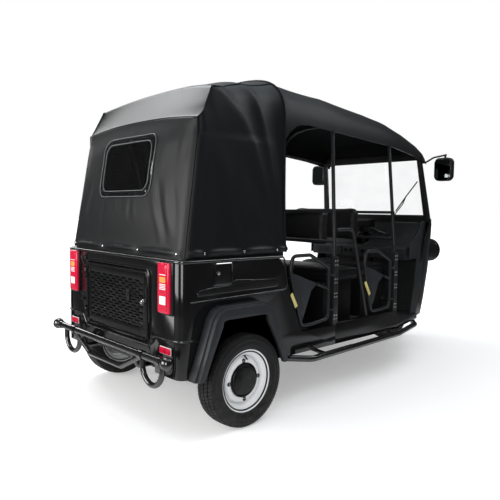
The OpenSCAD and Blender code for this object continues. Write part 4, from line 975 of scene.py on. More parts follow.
def raised(outline, high, edge, to, under=0.0, steps=3):
    """Plate with a rolled edge, standing on a face. to(u, v, h) gives the place of its points."""
    rings = [(0.0, -under)]
    for k in range(steps + 1):
        a = math.pi / 2 * k / steps
        rings.append((edge * (1 - math.cos(a)), high - edge + edge * math.sin(a)))
    verts, faces = [], []
    n = len(outline)
    for d, h in rings:
        verts += [to(u, v, h) for u, v in drawn_in(outline, d)]
    for k in range(len(rings) - 1):
        for i in range(n):
            j = (i + 1) % n
            faces.append((k * n + i, k * n + j, (k + 1) * n + j, (k + 1) * n + i))
    faces.append(tuple(range(len(verts) - n, len(verts))))
    faces.append(tuple(reversed(range(n))))
    return verts, faces


def rear_face(u, v, h):
    return at(u, -385 - h, v)


def right_face(y, z, h):
    return at(630 + h, y, z)


def left_face(y, z, h):
    return at(-630 - h, y, z)


def rounded_path(points, bend, steps=6, closed=False):
    """Path of straight runs with round bends, in millimetres, as places in the model."""
    pts = [Vector(p) for p in points]
    n = len(pts)
    out = []
    for i in range(n):
        if not closed and i in (0, n - 1):
            out.append(pts[i])
            continue
        a, b, c = pts[i - 1], pts[i], pts[(i + 1) % n]
        u, w = (a - b), (c - b)
        turn = math.pi - u.angle(w)
        if turn < 0.02:
            out.append(b)
            continue
        d = min(bend * math.tan(turn / 2), u.length * 0.48, w.length * 0.48)
        p, q = b + u.normalized() * d, b + w.normalized() * d
        for k in range(steps + 1):
            t = k / steps
            out.append(p.lerp(b, t).lerp(b.lerp(q, t), t))
    return [at(*p) for p in out]


def both_sides(pair):
    verts, faces = pair
    return joined([(list(verts), faces),
                   ([Vector((-v[0], v[1], v[2])) for v in verts], [tuple(reversed(f)) for f in faces])])


def ball(centre, r, steps=24):
    return spun([(-r, 0)] + [(-r * math.cos(a), r * math.sin(a)) for a in
                             (math.pi * k / 12 for k in range(1, 12))] + [(r, 0)], steps, centre)


# small parts, foot at the origin and axis along Z
def turned(profile, steps=10):
    return tidy(*spun([(d / 1000, r / 1000) for d, r in profile], steps, Vector(), (0, 0, 1)))


SNAP = turned([(-1, 0), (-1, 7), (1.2, 7.2), (2.0, 6.6), (2.2, 5.0), (3.6, 4.6), (4.4, 3.2), (4.7, 0)], 14)
SCREW = turned([(-1, 0), (-1, 6), (0.8, 6), (2.6, 4.6), (3.2, 2.4), (3.3, 0)], 12)
BOLT = turned([(-1, 0), (-1, 8.5), (1.0, 8.5), (1.2, 6.8), (6.0, 6.8), (6.8, 5.6), (6.9, 0)], 6)
STITCH = turned([(-1.7, 0), (-1.6, 0.45), (-1.0, 0.62), (1.0, 0.62), (1.6, 0.45), (1.7, 0)], 6)

# the welds are drawn in opaque grey, a painted sheen of the clear welds
welds = joined([weld_line(FILM, 5), weld_line(WINDOW, -5)])
film_welds = place("film_welds", new_mesh("film_welds", *welds), "weld_painted_sheen", smooth=80)

# ---------------------------------------------------------------- wheels
TREAD = 244.0


def crown(d):
    return 250 - 0.0011 * d * d - 1.6 * ease(34, 58, abs(d))


def tyre_form(centre, axis):
    half = [(0, crown(0) - 6), (20, crown(20) - 6), (40, crown(40) - 6), (52, crown(52) - 6), (57.5, 239),
            (60.5, 233), (62.6, 226), (63.4, 222.5), (64.6, 221.5), (64.9, 219), (64.1, 217.5), (65.4, 209),
            (66, 200), (65.4, 190), (63, 181), (60.5, 176), (60.4, 174.2), (58.6, 173.2), (56, 170), (53.5, 167.6),
            (48.3, 167.2), (48, 153), (34, 152.6), (33, 170), (52, 190), (55, 206), (49, 226), (30, 232), (0, 233)]
    loop = half + [(-d, r) for d, r in reversed(half[1:-1])] + [half[0]]
    return tidy(*spun([(d / 1000, r / 1000) for d, r in loop], 96, centre, axis))


def tread_block(x0, x1, slant, length, cut):
    """Block of the tread between two distances across it, on its own radius."""
    verts = []
    for x in (x0, (x0 + x1) / 2, x1):
        y = slant * (x - x0) / (x1 - x0)
        top = crown(x) - (0 if abs(x) < 50 else 0.8)
        for side, y_at in ((-1, -length / 2), (1, length / 2)):
            verts.append(Vector((x, y + y_at, crown(x) - 8)) / 1000)
            verts.append(Vector((x, y + y_at - side * cut, top)) / 1000)
    faces = []
    for k in (0, 4):
        faces += [(k + 1, k + 5, k + 7, k + 3), (k, k + 4, k + 5, k + 1), (k + 2, k + 3, k + 7, k + 6)]
    faces += [(0, 1, 3, 2), (8, 10, 11, 9)]
    return tidy(verts, faces)


def make_tyre(name, x, y, axis, body):
    centre = at(x, y, 250)
    tyre = place(name + "_carcass", new_mesh(name, *tyre_form(centre, axis)), "tyre_black", body, 40)
    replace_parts(tyre, name)
    n = 78
    pitch = 2 * math.pi * 247 / n
    spots = []
    for k in range(n):
        a = 2 * math.pi * k / n
        spots.append((centre, (0, math.cos(a), math.sin(a)), (1, 0, 0)))
    half = [(centre, (0, math.cos(a), math.sin(a)), (1, 0, 0))
            for a in (2 * math.pi * (k + 0.5) / n for k in range(n))]
    for tag, x0, x1, slant, where in (("outer", 33, 57, 6, spots), ("middle", 3.5, 27, 4, half),
                                      ("middle_in", -27, -3.5, 4, spots), ("outer_in", -57, -33, 6, half)):
        repeated(f"{name}_tread_{tag}", tread_block(x0, x1, slant, pitch - 2.4, 0.4), where, "tyre_black", body,
                 smooth=20)
    return tyre


WHEELS = (("tyre_right", "rim_right", 637, 0, (1, 0, 0), "right_wheel"),
          ("tyre_left", "rim_left", -637, 0, (-1, 0, 0), "left_wheel"),
          ("tyre_front", "rim_front", 0, 2380, (1, 0, 0), "front_wheel"))
for tyre_name, rim_name, x, y, axis, body in WHEELS:
    make_tyre(tyre_name, x, y, axis, body)

# outer half of the rim: turned lip, stepped barrel and bulged disc
RIM_FACE = [(46, 167), (49, 168.2), (51.4, 167.6), (52.2, 165.2), (51.4, 162.6), (47.5, 159.5), (43, 154), (41, 150.5),
            (39.2, 149.2), (34, 148.2), (30, 144.5), (27, 139), (24.5, 136.5), (20, 135), (13, 131), (10, 128.5),
            (8.4, 127.2), (9.2, 125.6), (13.5, 124), (20, 120.5), (25.5, 115), (28.6, 108), (29.2, 101), (27.6, 94),
            (24, 88.5), (18, 86), (15, 84)]
BARREL_BACK = [(-20, 127.6), (-25, 132), (-29, 147), (-33, 149), (-42, 150.5), (-48, 159), (-52, 165), (-50.5, 168),
               (-46, 167), (-46, 153), (-26, 152.6), (-18, 131.5), (8, 131.5), (15, 135), (24, 140.5), (30, 148.5),
               (34, 152.4), (44, 153)]
HUB = [(-98, 0), (-98, 96), (-94, 100), (-58, 100), (-50, 92), (-48, 40), (-44, 36), (10, 36), (14, 60), (18, 60),
       (18, 0)]
HUB_CAP = [(24, 92.2), (29, 92.4), (32.4, 91.2), (34, 88), (36, 85.4), (38, 84.4), (42.8, 80), (44.8, 74), (45.4, 64),
           (46.4, 30), (46.8, 0)]


def wheel_ring(name, x, body, s, dish):
    """Outboard face of a rear rim. s is 1 on the right."""
    centre = at(x, 0, 250)
    axis = Vector((s, 0, 0))
    split = RIM_FACE.index((8.4, 127.2))
    barrel, disc = RIM_FACE[:split], RIM_FACE[split:]
    disc = disc + [(d - 3.2, r - 1.4) for d, r in reversed(disc)]
    forms = [tidy(*spun([(d / 1000, r / 1000) for d, r in loop + loop[:1]], 96, centre, axis))
             for loop in (barrel + BARREL_BACK, disc)]
    forms.append(tidy(*spun([(d / 1000, r / 1000) for d, r in HUB], 64, centre, axis)))
    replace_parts(place(name + "_turned", new_mesh(name + "_turned", *joined(forms[:2])), "rim_enamel", body, 40), name)
    place(name + "_drum", new_mesh(name + "_drum", *forms[2]), "satin_black", body, 40)
    # bolt holes as dark cups on the uncut disc, painted shade of the open holes, and hub cap with flats
    hole_shade_cup = turned([(0.5, 0), (0.5, 8.8), (1.2, 9.8), (1.5, 10.8), (0.9, 11.8), (-2, 12.2)], 24)
    spots = []
    for k in range(4):
        a = math.radians(90 * k + 2)
        spots.append((centre + Vector((s * 0.0286, math.cos(a) * 0.1035, math.sin(a) * 0.1035)), axis, (0, 0, 1)))
    repeated(name + "_holes", hole_shade_cup, spots, "cap_gloss", body, smooth=50)
    cap_verts, cap_faces = spun([(d / 1000, r / 1000) for d, r in [(16, 92)] + HUB_CAP], 96, centre, axis)
    for v in cap_verts:
        p = v - centre
        r = math.hypot(p.y, p.z) * 1000
        out = p.x * s * 1000
        if r < 87 and out > 32:
            a = math.atan2(p.z, p.y)
            flat = max(math.cos(a - math.radians(t)) * r for t in (42, 162, 282))
            v.x -= s * (0.22 * max(flat - 38, 0) + 0.02 * r * math.cos(3 * a)) / 1000
    cap = place(name + "_cap", new_mesh(name + "_cap", *tidy(cap_verts, cap_faces)), "cap_gloss", body, 16)
    # valve
    foot = centre + Vector((s * 0.017, 0.012, 0.128))
    tip = foot + Vector((s * 0.019, 0.004, -0.020))
    stem = sweep([foot, foot.lerp(tip, 0.5), tip], [0.0052, 0.0044, 0.0036], 10)
    place(name + "_valve", new_mesh(name + "_valve", *tidy(*stem)), "cap_gloss", body, 50)
    return cap


for rim_name, cap_name, x, body, s in (("rim_right", "cap_right", 637, "right_wheel", 1),
                                       ("rim_left", "cap_left", -637, "left_wheel", -1)):
    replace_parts(wheel_ring(rim_name, x, body, s, 20), cap_name)

# ---------------------------------------------------------------- rear face
def lamp(s, x0, x1):
    """Tail lamp: black base, ribbed cover, and its cells from foot to head."""
    def to(u, v, h):
        return at(s * u, -385 - h, v)

    def bar(z0, z1, r, high, side=25):
        return tidy(*raised(rounded(x0 + side, x1 - side, z0, z1, r), high, 1.0, to, high - 4))

    base = tidy(*raised(rounded(x0 - 6, x1 + 18, 622, 890, 13), 8, 3, to))
    cover = [tidy(*raised(rounded(x0, x1, 631, 885, 13, 7), 20, 6, to, -4)), bar(642, 876, 6, 22.4, 16)]
    cover += [bar(z, z + 3.2, 1.2, 23.8, 20) for z in (864, 857, 850, 843, 836)]
    cover += [bar(z, z + 3.2, 1.2, 23.8, 20) for z in (742, 735, 728, 663, 656, 650)]
    white = [bar(676, 718, 3, 24.2)] + [bar(z, z + 4, 1.5, 24.0) for z in (823, 751, 759, 767, 775)]
    return base, cover, {"lamp_white": white, "lamp_amber": [bar(786, 814, 4, 24.2)]}


shells, covers, bright = [], [], {"lamp_white": [], "lamp_amber": []}
for s in (1, -1):
    base, cover, cells = lamp(s, 453, 555)
    shells.append(base)
    covers += cover
    for key, value in cells.items():
        bright[key] += value
for s in (1, -1):
    def low_lamp(u, v, h, s=s):
        return at(s * u, -385 - h, v)
    shells.append(tidy(*raised(rounded(456, 560, 420, 462, 4), 6, 1.5, low_lamp)))
    covers.append(tidy(*raised(rounded(461, 555, 425, 457, 3), 12, 2, low_lamp)))
    bright["lamp_white"].append(tidy(*raised(rounded(458.5, 557.5, 422.5, 459.5, 3), 7.6, 1, low_lamp)))
    shells.append(tidy(*raised(rounded(505, 509, 426, 456, 1), 12.6, 0.6, low_lamp)))
place("tail_lamp_shells", new_mesh("tail_lamp_shells", *joined(shells)), "lamp_shell", smooth=40)
tail = place("tail_lamp_covers", new_mesh("tail_lamp_covers", *joined(covers)), "lamp_cover", smooth=40)
for key, value in bright.items():
    place("tail_" + key, new_mesh("tail_" + key, *joined(value)), key, smooth=40)
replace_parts(tail, "tail_lamps")

# rolled beads pressed into the body: around the rear foot, waist, and panels of the sides
def corner_path(x_from, z0, y_to, z1, out=0.0):
    path = [at(x_from, -385 - out, z0)]
    for k in range(9):
        a = math.radians(-90 + 90 * k / 8)
        path.append(at(575 + (55 + out) * math.cos(a), -330 + (55 + out) * math.sin(a), z0))
    path.append(at(630 + out, y_to, z1))
    return path


beads = []
foot_bead = corner_path(436, 500, -226, 485)
beads.append(sweep(foot_bead, 0.0065, 12))
door_lip = rounded_path([(436, -385, 500), (398, -386, 498), (352, -387, 442), (0, -387, 441)], 34, 8)
beads.append(sweep(door_lip, 0.0075, 12))
beads.append(sweep(corner_path(0, 891, -300, 891, -4), 0.0088, 14))
beads.append(sweep([at(626, -300, 891), at(626, 318, 889)], 0.0088, 14))
waist = rounded_path([(628, 290, 893), (630, 330, 888), (630, 362, 716), (630, 338, 700), (630, -330, 690)], 32, 7)
beads.append(sweep(waist, 0.0048, 12))
place("pressed_beads", new_mesh("pressed_beads", *both_sides(tidy(*joined(beads)))), "bead_gloss", smooth=60)

STRIP = [(-288, 717), (266, 722), (280, 726), (288, 737), (286, 752), (277, 764), (262, 769), (0, 784), (-36, 786),
         (-46, 779), (-56, 764), (-66, 760), (-190, 758), (-262, 750), (-288, 740)]
strips = joined([tidy(*raised(STRIP, 4.6, 4.2, right_face, 0.5)), tidy(*raised(STRIP, 4.6, 4.2, left_face, 0.5))])
place("side_strips", new_mesh("side_strips", *strips), "bead_gloss", smooth=60)

flap = tidy(*raised(rounded(-176, -64, 770, 872, 12), 2.4, 2.0, lambda y, z, h: at(629.6 + h, y, z), 2))
place("filler_plate", new_mesh("filler_plate", *flap), "body_gloss", "flap", 50)
flap_lock = spun([(d / 1000, r / 1000) for d, r in
                  [(0, 0), (0, 10), (3, 10.2), (5, 9.4), (6, 7), (6.4, 5.6), (6.0, 5.2), (6.0, 0)]], 24,
                 at(631, -155, 829), (1, 0, 0))
place("filler_lock", new_mesh("filler_lock", *tidy(*flap_lock)), "chrome_plate", "flap", 40)
surround = rounded_path([(630.3, -184, 762), (630.3, -184, 880), (630.3, -56, 880), (630.3, -56, 762)], 16, 6, True)
place("filler_surround", new_mesh("filler_surround", *sweep(surround, 0.0018, 8, True)), "body_gloss", smooth=80)

# seams between the corner and the rear panel, and the door frame's upper groove
seam = []
for s in (1, -1):
    seam.append(sweep([at(s * 575, -385.3, 310), at(s * 575, -385.3, 886)], 0.0012, 6))
place("corner_seams", new_mesh("corner_seams", *joined(seam)), "seam_cord", smooth=80)
groove = rounded_path([(-350, -387, 560), (-350, -387, 838), (350, -387, 838), (350, -387, 560)], 34, 6)
place("door_surround", new_mesh("door_surround", *sweep(groove, 0.0042, 10)), "bead_gloss", smooth=80)

# rear door: rolled border, latch and hinge leaves
border = rounded_path([(-334, -390, 464), (-334, -390, 819), (334, -390, 819), (334, -390, 464)], 24, 6, True)
place("door_border", new_mesh("door_border", *sweep(border, 0.0036, 10, True)), "body_gloss", "tailgate", 80)
lock = [spun([(d / 1000, r / 1000) for d, r in
              [(0, 0), (0, 17), (3, 17.4), (6, 16.8), (7.4, 14), (7.8, 11.6), (12, 11), (13.2, 9.8), (13.6, 7), (12.6, 6.4),
               (12.4, 0)]], 28, at(297, -391, 660), (0, -1, 0))]
place("door_lock", new_mesh("door_lock", *tidy(*joined(lock))), "chrome_plate", "tailgate", 40)
pull = [tidy(*raised(rounded(130, 162, 650, 712, 6), 7, 2.4, lambda u, v, h: at(u, -389 - h, v))),
        tidy(*raised(rounded(137, 155, 672, 704, 4), 12, 2.4, lambda u, v, h: at(u, -389 - h, v)))]
place("door_pull", new_mesh("door_pull", *joined(pull)), "moulded_black", "tailgate", 40)
stay = tidy(*raised([(-372, 838), (-352, 838), (-352, 852), (-366, 862), (-384, 862), (-384, 852)], 8, 2, rear_face))
stay2 = tidy(*raised(rounded(-420, -392, 584, 602, 4), 9, 2, rear_face))
stay3 = tidy(*raised(rounded(372, 392, 474, 500, 4), 9, 2, rear_face))
place("rear_brackets", new_mesh("rear_brackets", *joined([stay, stay2, stay3])), "satin_black", smooth=40)

# ---------------------------------------------------------------- tubes
bar = [tidy(*sweep([at(-614, -455, 408), at(-300, -455, 408), at(0, -455, 408), at(300, -455, 408),
                    at(614, -455, 408)], 0.019, 28))]
low_loop = rounded_path([(-385, -455, 400), (-180, -455, 303), (180, -455, 303), (385, -455, 400)], 46, 8)
bar.append(tidy(*sweep(low_loop, 0.015, 20)))
side_tubes = [tidy(*sweep(rounded_path([(295, -455, 408), (295, -421, 322), (295, -330, 322)], 30), 0.013, 18)),
              tidy(*sweep([at(360, -433, 408)] + [at(450 - 90 * math.cos(t), -433, 350 - 90 * math.sin(t))
                                                  for t in (math.pi * k / 28 for k in range(29))]
                          + [at(540, -433, 408)], 0.015, 20)),
              tidy(*ball(at(614, -455, 408), 0.034, 28)),
              tidy(*spun([(-0.018, 0.0192), (-0.018, 0.024), (0.018, 0.024), (0.018, 0.0192)], 28,
                         at(385, -455, 408))),
              tidy(*spun([(-0.010, 0.0192), (-0.010, 0.0225), (0.010, 0.0225), (0.010, 0.0192)], 28,
                         at(560, -455, 408)))]
bar.append(both_sides(joined(side_tubes)))
bumper = place("bumper_tubes", new_mesh("bumper_tubes", *joined(bar)), "tube_gloss", smooth=50)
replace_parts(bumper, "bumper")

step = sweep(rounded_path([(590, 385, 284), (712, 500, 284), (668, 1500, 284), (575, 1870, 284), (492, 1975, 284)],
                          70, 8), 0.019, 22)
brackets = []
for y in (640, 1440):
    brackets.append(sweep([at(321, y, 318), at(705 - (y - 500) * 0.044, y, 288)], 0.012, 14))
treads = []
for k in range(30):
    y = 560 + k * 12
    x = 712 - (y - 500) * 0.044
    treads.append(sweep([at(x - 9, y, 301.6), at(x, y, 303.2), at(x + 9, y, 301.6)], 0.0022, 6))
steps = place("step_tubes", new_mesh("step_tubes", *both_sides(tidy(*joined([step] + brackets + treads)))),
              "tube_gloss", smooth=60)
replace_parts(steps, "step_rails")

# ---------------------------------------------------------------- hood: snaps, hem rail and stitching
def near(points, x=None, y=None):
    if x is not None:
        return min(points, key=lambda p: abs(p.x * 1000 - x))
    return min(points, key=lambda p: abs(p.y * 1000 + MID - y))


spots = []
for x in REAR_SNAPS:
    p = near(LINES["hem_rear"], x=x)
    spots.append((p + Vector((0, -0.0005, 0.021)), (0, -1, 0.15), (1, 0, 0)))
for y in SIDE_SNAPS:
    for key, s in (("hem_right", 1), ("hem_left", -1)):
        p = near(LINES[key], y=y)
        spots.append((p + Vector((s * 0.0005, 0, 0.021)), (s, 0, 0.05), (0, 1, 0)))
snaps = repeated("hood_snaps", SNAP, spots, "chrome_plate", smooth=50)


def stitch_spots(points, pitch, out):
    """Places along a line, every pitch metres, pushed out and turned along it."""
    spots, left = [], 0.0
    for a, b in zip(points, points[1:]):
        run = (b - a).length
        while left < run:
            p = a.lerp(b, left / run)
            spots.append((p + out(p), (b - a), out(p)))
            left += pitch
        left -= run
    return spots


def off_hood(p):
    away = Vector((p.x, 0.55 * (p.y - 0.2), 0.9 * (p.z - 1.25)))
    return away.normalized() * 0.0012


def shifted(points, dx=0.0, dy=0.0, dz=0.0):
    return [p + Vector((dx, dy, dz)) / 1000 for p in points]


# rail behind the hem, which the cloth is buttoned to
rail_path = rounded_path([(0, -349, 0), (602, -349, 0), (607, 346, 0)], 52, 10)
rail = ([p + Vector((0, 0, z)) for z in (0.884, 0.948) for p in rail_path])
n = len(rail_path)
rail_faces = [(i, i + 1, n + i + 1, n + i) for i in range(n - 1)]
hem_rail = place("hem_rail", new_mesh("hem_rail", *both_sides((rail, rail_faces))), "satin_black", smooth=60)
mod = hem_rail.modifiers.new("wall", "SOLIDIFY")
mod.thickness = 0.003
mod.offset = 0
baked(hem_rail)
soften(hem_rail.data, 40)

rows = []
for key, s in (("corner_right", 1), ("corner_left", -1)):
    rows += stitch_spots(shifted(LINES[key], -s * 7, -2.5), 0.0062, off_hood)
    rows += stitch_spots(shifted(LINES[key], s * 2.5, 8), 0.0062, off_hood)
rows += stitch_spots(shifted(LINES["rear_edge"], 0, -1.5, -8), 0.0062, off_hood)
for key in ("gore_right", "gore_left"):
    s = 1 if key == "gore_right" else -1
    rows += stitch_spots(shifted(LINES[key], s * 4.5, 0, -6.5), 0.0062, off_hood)
stitches = repeated("hood_stitches", STITCH, rows, "stitch_thread", play=0.08, seed=4, smooth=60)

# ---------------------------------------------------------------- seats
def cushion(name, x0, x1, y0, y1, z0, z1, r, crown_z, to, fill, body="vehicle"):
    """Padded block with a crowned face and sides that draw in at mid height, then swelled by cloth."""
    nu, nv = 34, 22
    outline = rounded(x0, x1, y0, y1, r, 6)
    levels = [(0.0, 0.0), (0.06, -2), (0.16, -3.5), (0.32, -2.0), (0.5, 0.5), (0.66, 0.5), (0.8, -1.5), (0.9, -5), (0.96, -10),
              (1.0, -17)]
    verts, faces = [], []
    n = len(outline)
    for t, out in levels:
        z = lerp(z0, z1 - crown_z, t)
        for u, v in drawn_in(outline, -out if out < 0 else -out):
            verts.append(to(u, v, z))
    for k in range(len(levels) - 1):
        for i in range(n):
            j = (i + 1) % n
            faces.append((k * n + i, k * n + j, (k + 1) * n + j, (k + 1) * n + i))
    # crowned top in shrinking rings
    last = len(levels) - 1
    rings = 7
    edge = drawn_in(outline, 17)
    cx, cy = (x0 + x1) / 2, (y0 + y1) / 2
    for m in range(1, rings):
        t = m / rings
        for u, v in edge:
            pu, pv = lerp(u, cx + (u - cx) * 0.72, t), lerp(v, cy + (v - cy) * 0.25, t)
            z = z1 - crown_z + crown_z * math.sin(t * math.pi / 2) ** 0.8
            verts.append(to(pu, pv, z))
        base = (last + m) * n
        for i in range(n):
            j = (i + 1) % n
            faces.append((base - n + i, base - n + j, base + j, base + i))
    faces.append(tuple(range(len(verts) - n, len(verts))))
    faces.append(tuple(reversed(range(n))))
    mesh = new_mesh(name, *tidy(verts, faces))
    ob = place(name, mesh, "seat_cover", body, 180)
    inflate(ob, fill)
    soften(ob.data, 180)
    return ob


def inflate(ob, fill, voxel=0.0065, cap=0.006):
    """Swell a padded form as stuffed cloth, with the movement of every point kept small."""
    scene = bpy.context.scene
    mod = ob.modifiers.new("remesh", "REMESH")
    mod.mode = "VOXEL"
    mod.voxel_size = voxel
    baked(ob)
    start = [v.co.copy() for v in ob.data.vertices]
    mod = ob.modifiers.new("swell", "CLOTH")
    mod.settings.use_pressure = True
    mod.settings.uniform_pressure_force = 4.0 * fill
    mod.settings.effector_weights.gravity = 0.0
    mod.settings.tension_stiffness = 15
    mod.settings.compression_stiffness = 4
    mod.settings.bending_stiffness = 0.6
    mod.point_cache.frame_start, mod.point_cache.frame_end = 1, 16
    for f in range(1, 17):
        scene.frame_set(f)
    graph = bpy.context.evaluated_depsgraph_get()
    mesh = bpy.data.meshes.new_from_object(ob.evaluated_get(graph))
    ob.modifiers.clear()
    for v, p in zip(mesh.vertices, start):
        step = v.co - p
        if step.length > cap:
            v.co = p + step * (cap / step.length)
    materials = [m for m in ob.data.materials]
    ob.data = mesh
    if not mesh.materials:
        for m in materials:
            mesh.materials.append(m)
    scene.frame_set(1)
    soften(mesh, 180)


def seat_to(u, v, z):
    return at(u, v, z)


BACK = math.radians(8)


def rear_back_to(u, v, z):
    """Rear backrest: v is its depth behind the face, z its height up the lean."""
    y, h = -196 + v, z
    return at(u, -196 + (v * math.cos(BACK) - h * math.sin(BACK)), 680 + v * math.sin(BACK) + h * math.cos(BACK))


def upright_to(y_face, z_foot):
    def to(u, v, z):
        return at(u, y_face + z, z_foot + v)
    return to


seats = [
    cushion("rear_cushion", -566, 566, -146, 316, 637, 728, 30, 12, seat_to, 0.8),
    cushion("middle_cushion", -496, 496, 911, 1241, 677, 768, 26, 11, seat_to, 0.8),
    cushion("driver_cushion", -306, 306, 1520, 1846, 657, 748, 26, 11, seat_to, 0.8)]
for ob in seats:
    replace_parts(ob, "cushions")


def lean_to(u, v, z):
    depth = -75 + z
    return at(u, -196 + depth * math.cos(BACK) - v * math.sin(BACK), 680 + depth * math.sin(BACK) + v * math.cos(BACK))


backs = [
    cushion("rear_backrest", -536, 536, 4, 314, 3, 73, 26, 10, lean_to, 0.7),
    cushion("middle_backrest", -496, 496, 4, 221, 3, 72, 24, 10, upright_to(829, 930), 0.7),
    cushion("driver_backrest", -311, 311, 4, 241, 3, 72, 46, 10, upright_to(1415, 935), 0.7)]
for ob in backs:
    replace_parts(ob, "backrests")

# piping round each cushion
piped = []
for x, y0, y1, z in ((566, -146, 316, 712), (496, 911, 1241, 752), (306, 1520, 1846, 732)):
    loop = [at(u, v, z) for u, v in drawn_in(rounded(-x, x, y0, y1, 28, 6), 4)]
    piped.append(sweep(loop, 0.0034, 8, True))
place("seat_piping", new_mesh("seat_piping", *tidy(*joined(piped))), "seam_cord", smooth=80)

# ---------------------------------------------------------------- doors
DOORS = {
    "rear": (815, [(-60, 478), (-60, 800), (-240, 886), (-395, 886), (-411, 800), (-309, 462), (-215, 462)],
             [(-405, 790), (-165, 706), (-223, 676), (-299, 500), (-315, 500)], ((-175, 704), (-60, 664))),
    "front": (1500, [(-58, 478), (-58, 806), (-222, 884), (-352, 884), (-368, 800), (-282, 468), (-200, 468)],
              [(-364, 792), (-128, 706), (-196, 672), (-270, 500), (-286, 500)], ((-130, 702), (-58, 676)))}


def door(side, row, s):
    post, loop, gusset, bar = DOORS[row]
    x = 614
    node = f"door_{row}_{side}"
    body = BODY_OF[node]

    def to(y, z, h):
        return at(s * (x + h), y, z)

    path = [(s * x, post + y, z) for y, z in loop]
    tube = [sweep(rounded_path(path, 40, 8, True), 0.0112, 18, True)]
    tube.append(sweep([at(s * x, post + bar[0][0], bar[0][1]), at(s * x, post + bar[1][0], bar[1][1])], 0.0092, 16))
    for z in (520, 740):
        pin_y = post - 23 - 7 - 2
        tube.append(spun([(0, 0), (0, 0.0068), (0.0015, 0.0078), (0.0225, 0.0078), (0.024, 0.0068), (0.024, 0)], 24,
                         at(s * 636, pin_y, z), (0, 0, 1)))
        tube.append(sweep([at(s * 618, post - 56, z + 12), at(s * 636, pin_y, z + 12)], 0.006, 12))
    ob = place(node + "_tubes", new_mesh(node + "_tubes", *tidy(*joined(tube))), "tube_satin", body, 60)
    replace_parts(ob, node)
    g = [(post + y, z) for y, z in gusset]
    if sum(a[0] * b[1] - b[0] * a[1] for a, b in zip(g, g[1:] + g[:1])) < 0:
        g = g[::-1]
    plate = tidy(*raised(g, 2.6, 1.6, to, 1.5))
    c = Vector((sum(p[0] for p in g) / len(g), sum(p[1] for p in g) / len(g)))
    inner = [(g_y * 0.62 + (c.x + 6) * 0.38, g_z * 0.62 + (c.y + 6) * 0.38) for g_y, g_z in g]
    fold = tidy(*raised(inner, 6.0, 3.4, to, 0.5))
    place(node + "_gusset", new_mesh(node + "_gusset", *joined([plate, fold])), "flare_moulding", body, 30)
    top, left, foot = g[1] if g[0][0] < g[1][0] else g[0], g[0], g[-1]
    spots = [(to(p[0], p[1], 2.2), (s, 0, 0), (0, 1, 0)) for p in
             [(post + gusset[0][0] + 16, gusset[0][1] - 16), (post + gusset[1][0] - 26, gusset[1][1] - 4),
              (post + gusset[3][0] - 3, gusset[3][1] + 16)]]
    repeated(node + "_screws", SCREW, spots, "satin_black", body, smooth=40)
    return ob


for side, s in (("right", 1), ("left", -1)):
    for row in ("rear", "front"):
        door(side, row, s)

# blank tags on the latch tubes, and bolts through the posts
tags = []
for y0, z0, y1, z1 in ((398, 668, 444, 587), (1125, 679, 1179, 591)):
    d = Vector((y1 - y0, z1 - z0)).normalized()
    n = Vector((-d.y, d.x)) * 11
    outline = [(y0 - n.x, z0 - n.y), (y1 - n.x, z1 - n.y), (y1 + n.x, z1 + n.y), (y0 + n.x, z0 + n.y)]
    if sum(a[0] * b[1] - b[0] * a[1] for a, b in zip(outline, outline[1:] + outline[:1])) < 0:
        outline = outline[::-1]
    tags.append(tidy(*raised(outline, 3, 1, lambda y, z, h: at(628 + h, y, z), 1)))
place("latch_tags", new_mesh("latch_tags", *joined(tags)), "tag_blank", smooth=30)

spots = []
for post in (815, 1500):
    for z in (385, 470, 492, 610, 632, 700, 722, 812, 838):
        for s in (1, -1):
            for dy in (-10, 10):
                spots.append((at(s * 626, post + dy, z), (s, 0, 0), (0, 1, 0)))
repeated("post_bolts", turned([(-1, 0), (-1, 5.4), (0.8, 5.4), (2.4, 4.2), (3.0, 2.2), (3.1, 0)], 12), spots,
         "zinc_screw", smooth=40)

# ---------------------------------------------------------------- cabin floor, dash and controls
spots = []
for k in range(38):
    y = 372 + k * 11.5
    if abs(y - 815) > 40:
        spots.append((at(0, y, 345), (0, 0, 1), (1, 0, 0)))
for k in range(20):
    spots.append((at(0, 1262 + k * 11.5, 345), (0, 0, 1), (1, 0, 0)))
rib = tidy(*raised(rounded(-470, 470, -3.2, 3.2, 3, 3), 3.2, 1.6, lambda u, v, h: Vector((u, v, h)) / 1000, 1, 2))
repeated("floor_mat_ribs", rib, spots, "floor_rubber", smooth=40)

shelf = [tidy(*raised(rounded(-440, 440, 0, 150, 14), 5, 2.4,
                      lambda u, v, h: at(u, 1884 + 1.0 * v * 0.66, 886 + v * 0.86 * 0.98 + h), 2))]
dash_bits = []
for x0, x1 in ((-430, -150), (170, 420)):
    dash_bits.append(tidy(*raised(rounded(x0, x1, 785, 858, 10), 6, 3, lambda u, v, h: at(u, 1869 - h, v), 1)))
for x in (-400, -370, -340, -310, 200, 230, 260, 290, 320, 350):
    dash_bits.append(tidy(*raised(rounded(x, x + 14, 798, 845, 5), 10, 2, lambda u, v, h: at(u, 1869 - h, v), 1)))
place("dash_fittings", new_mesh("dash_fittings", *joined(dash_bits)), "dash_moulding", smooth=40)
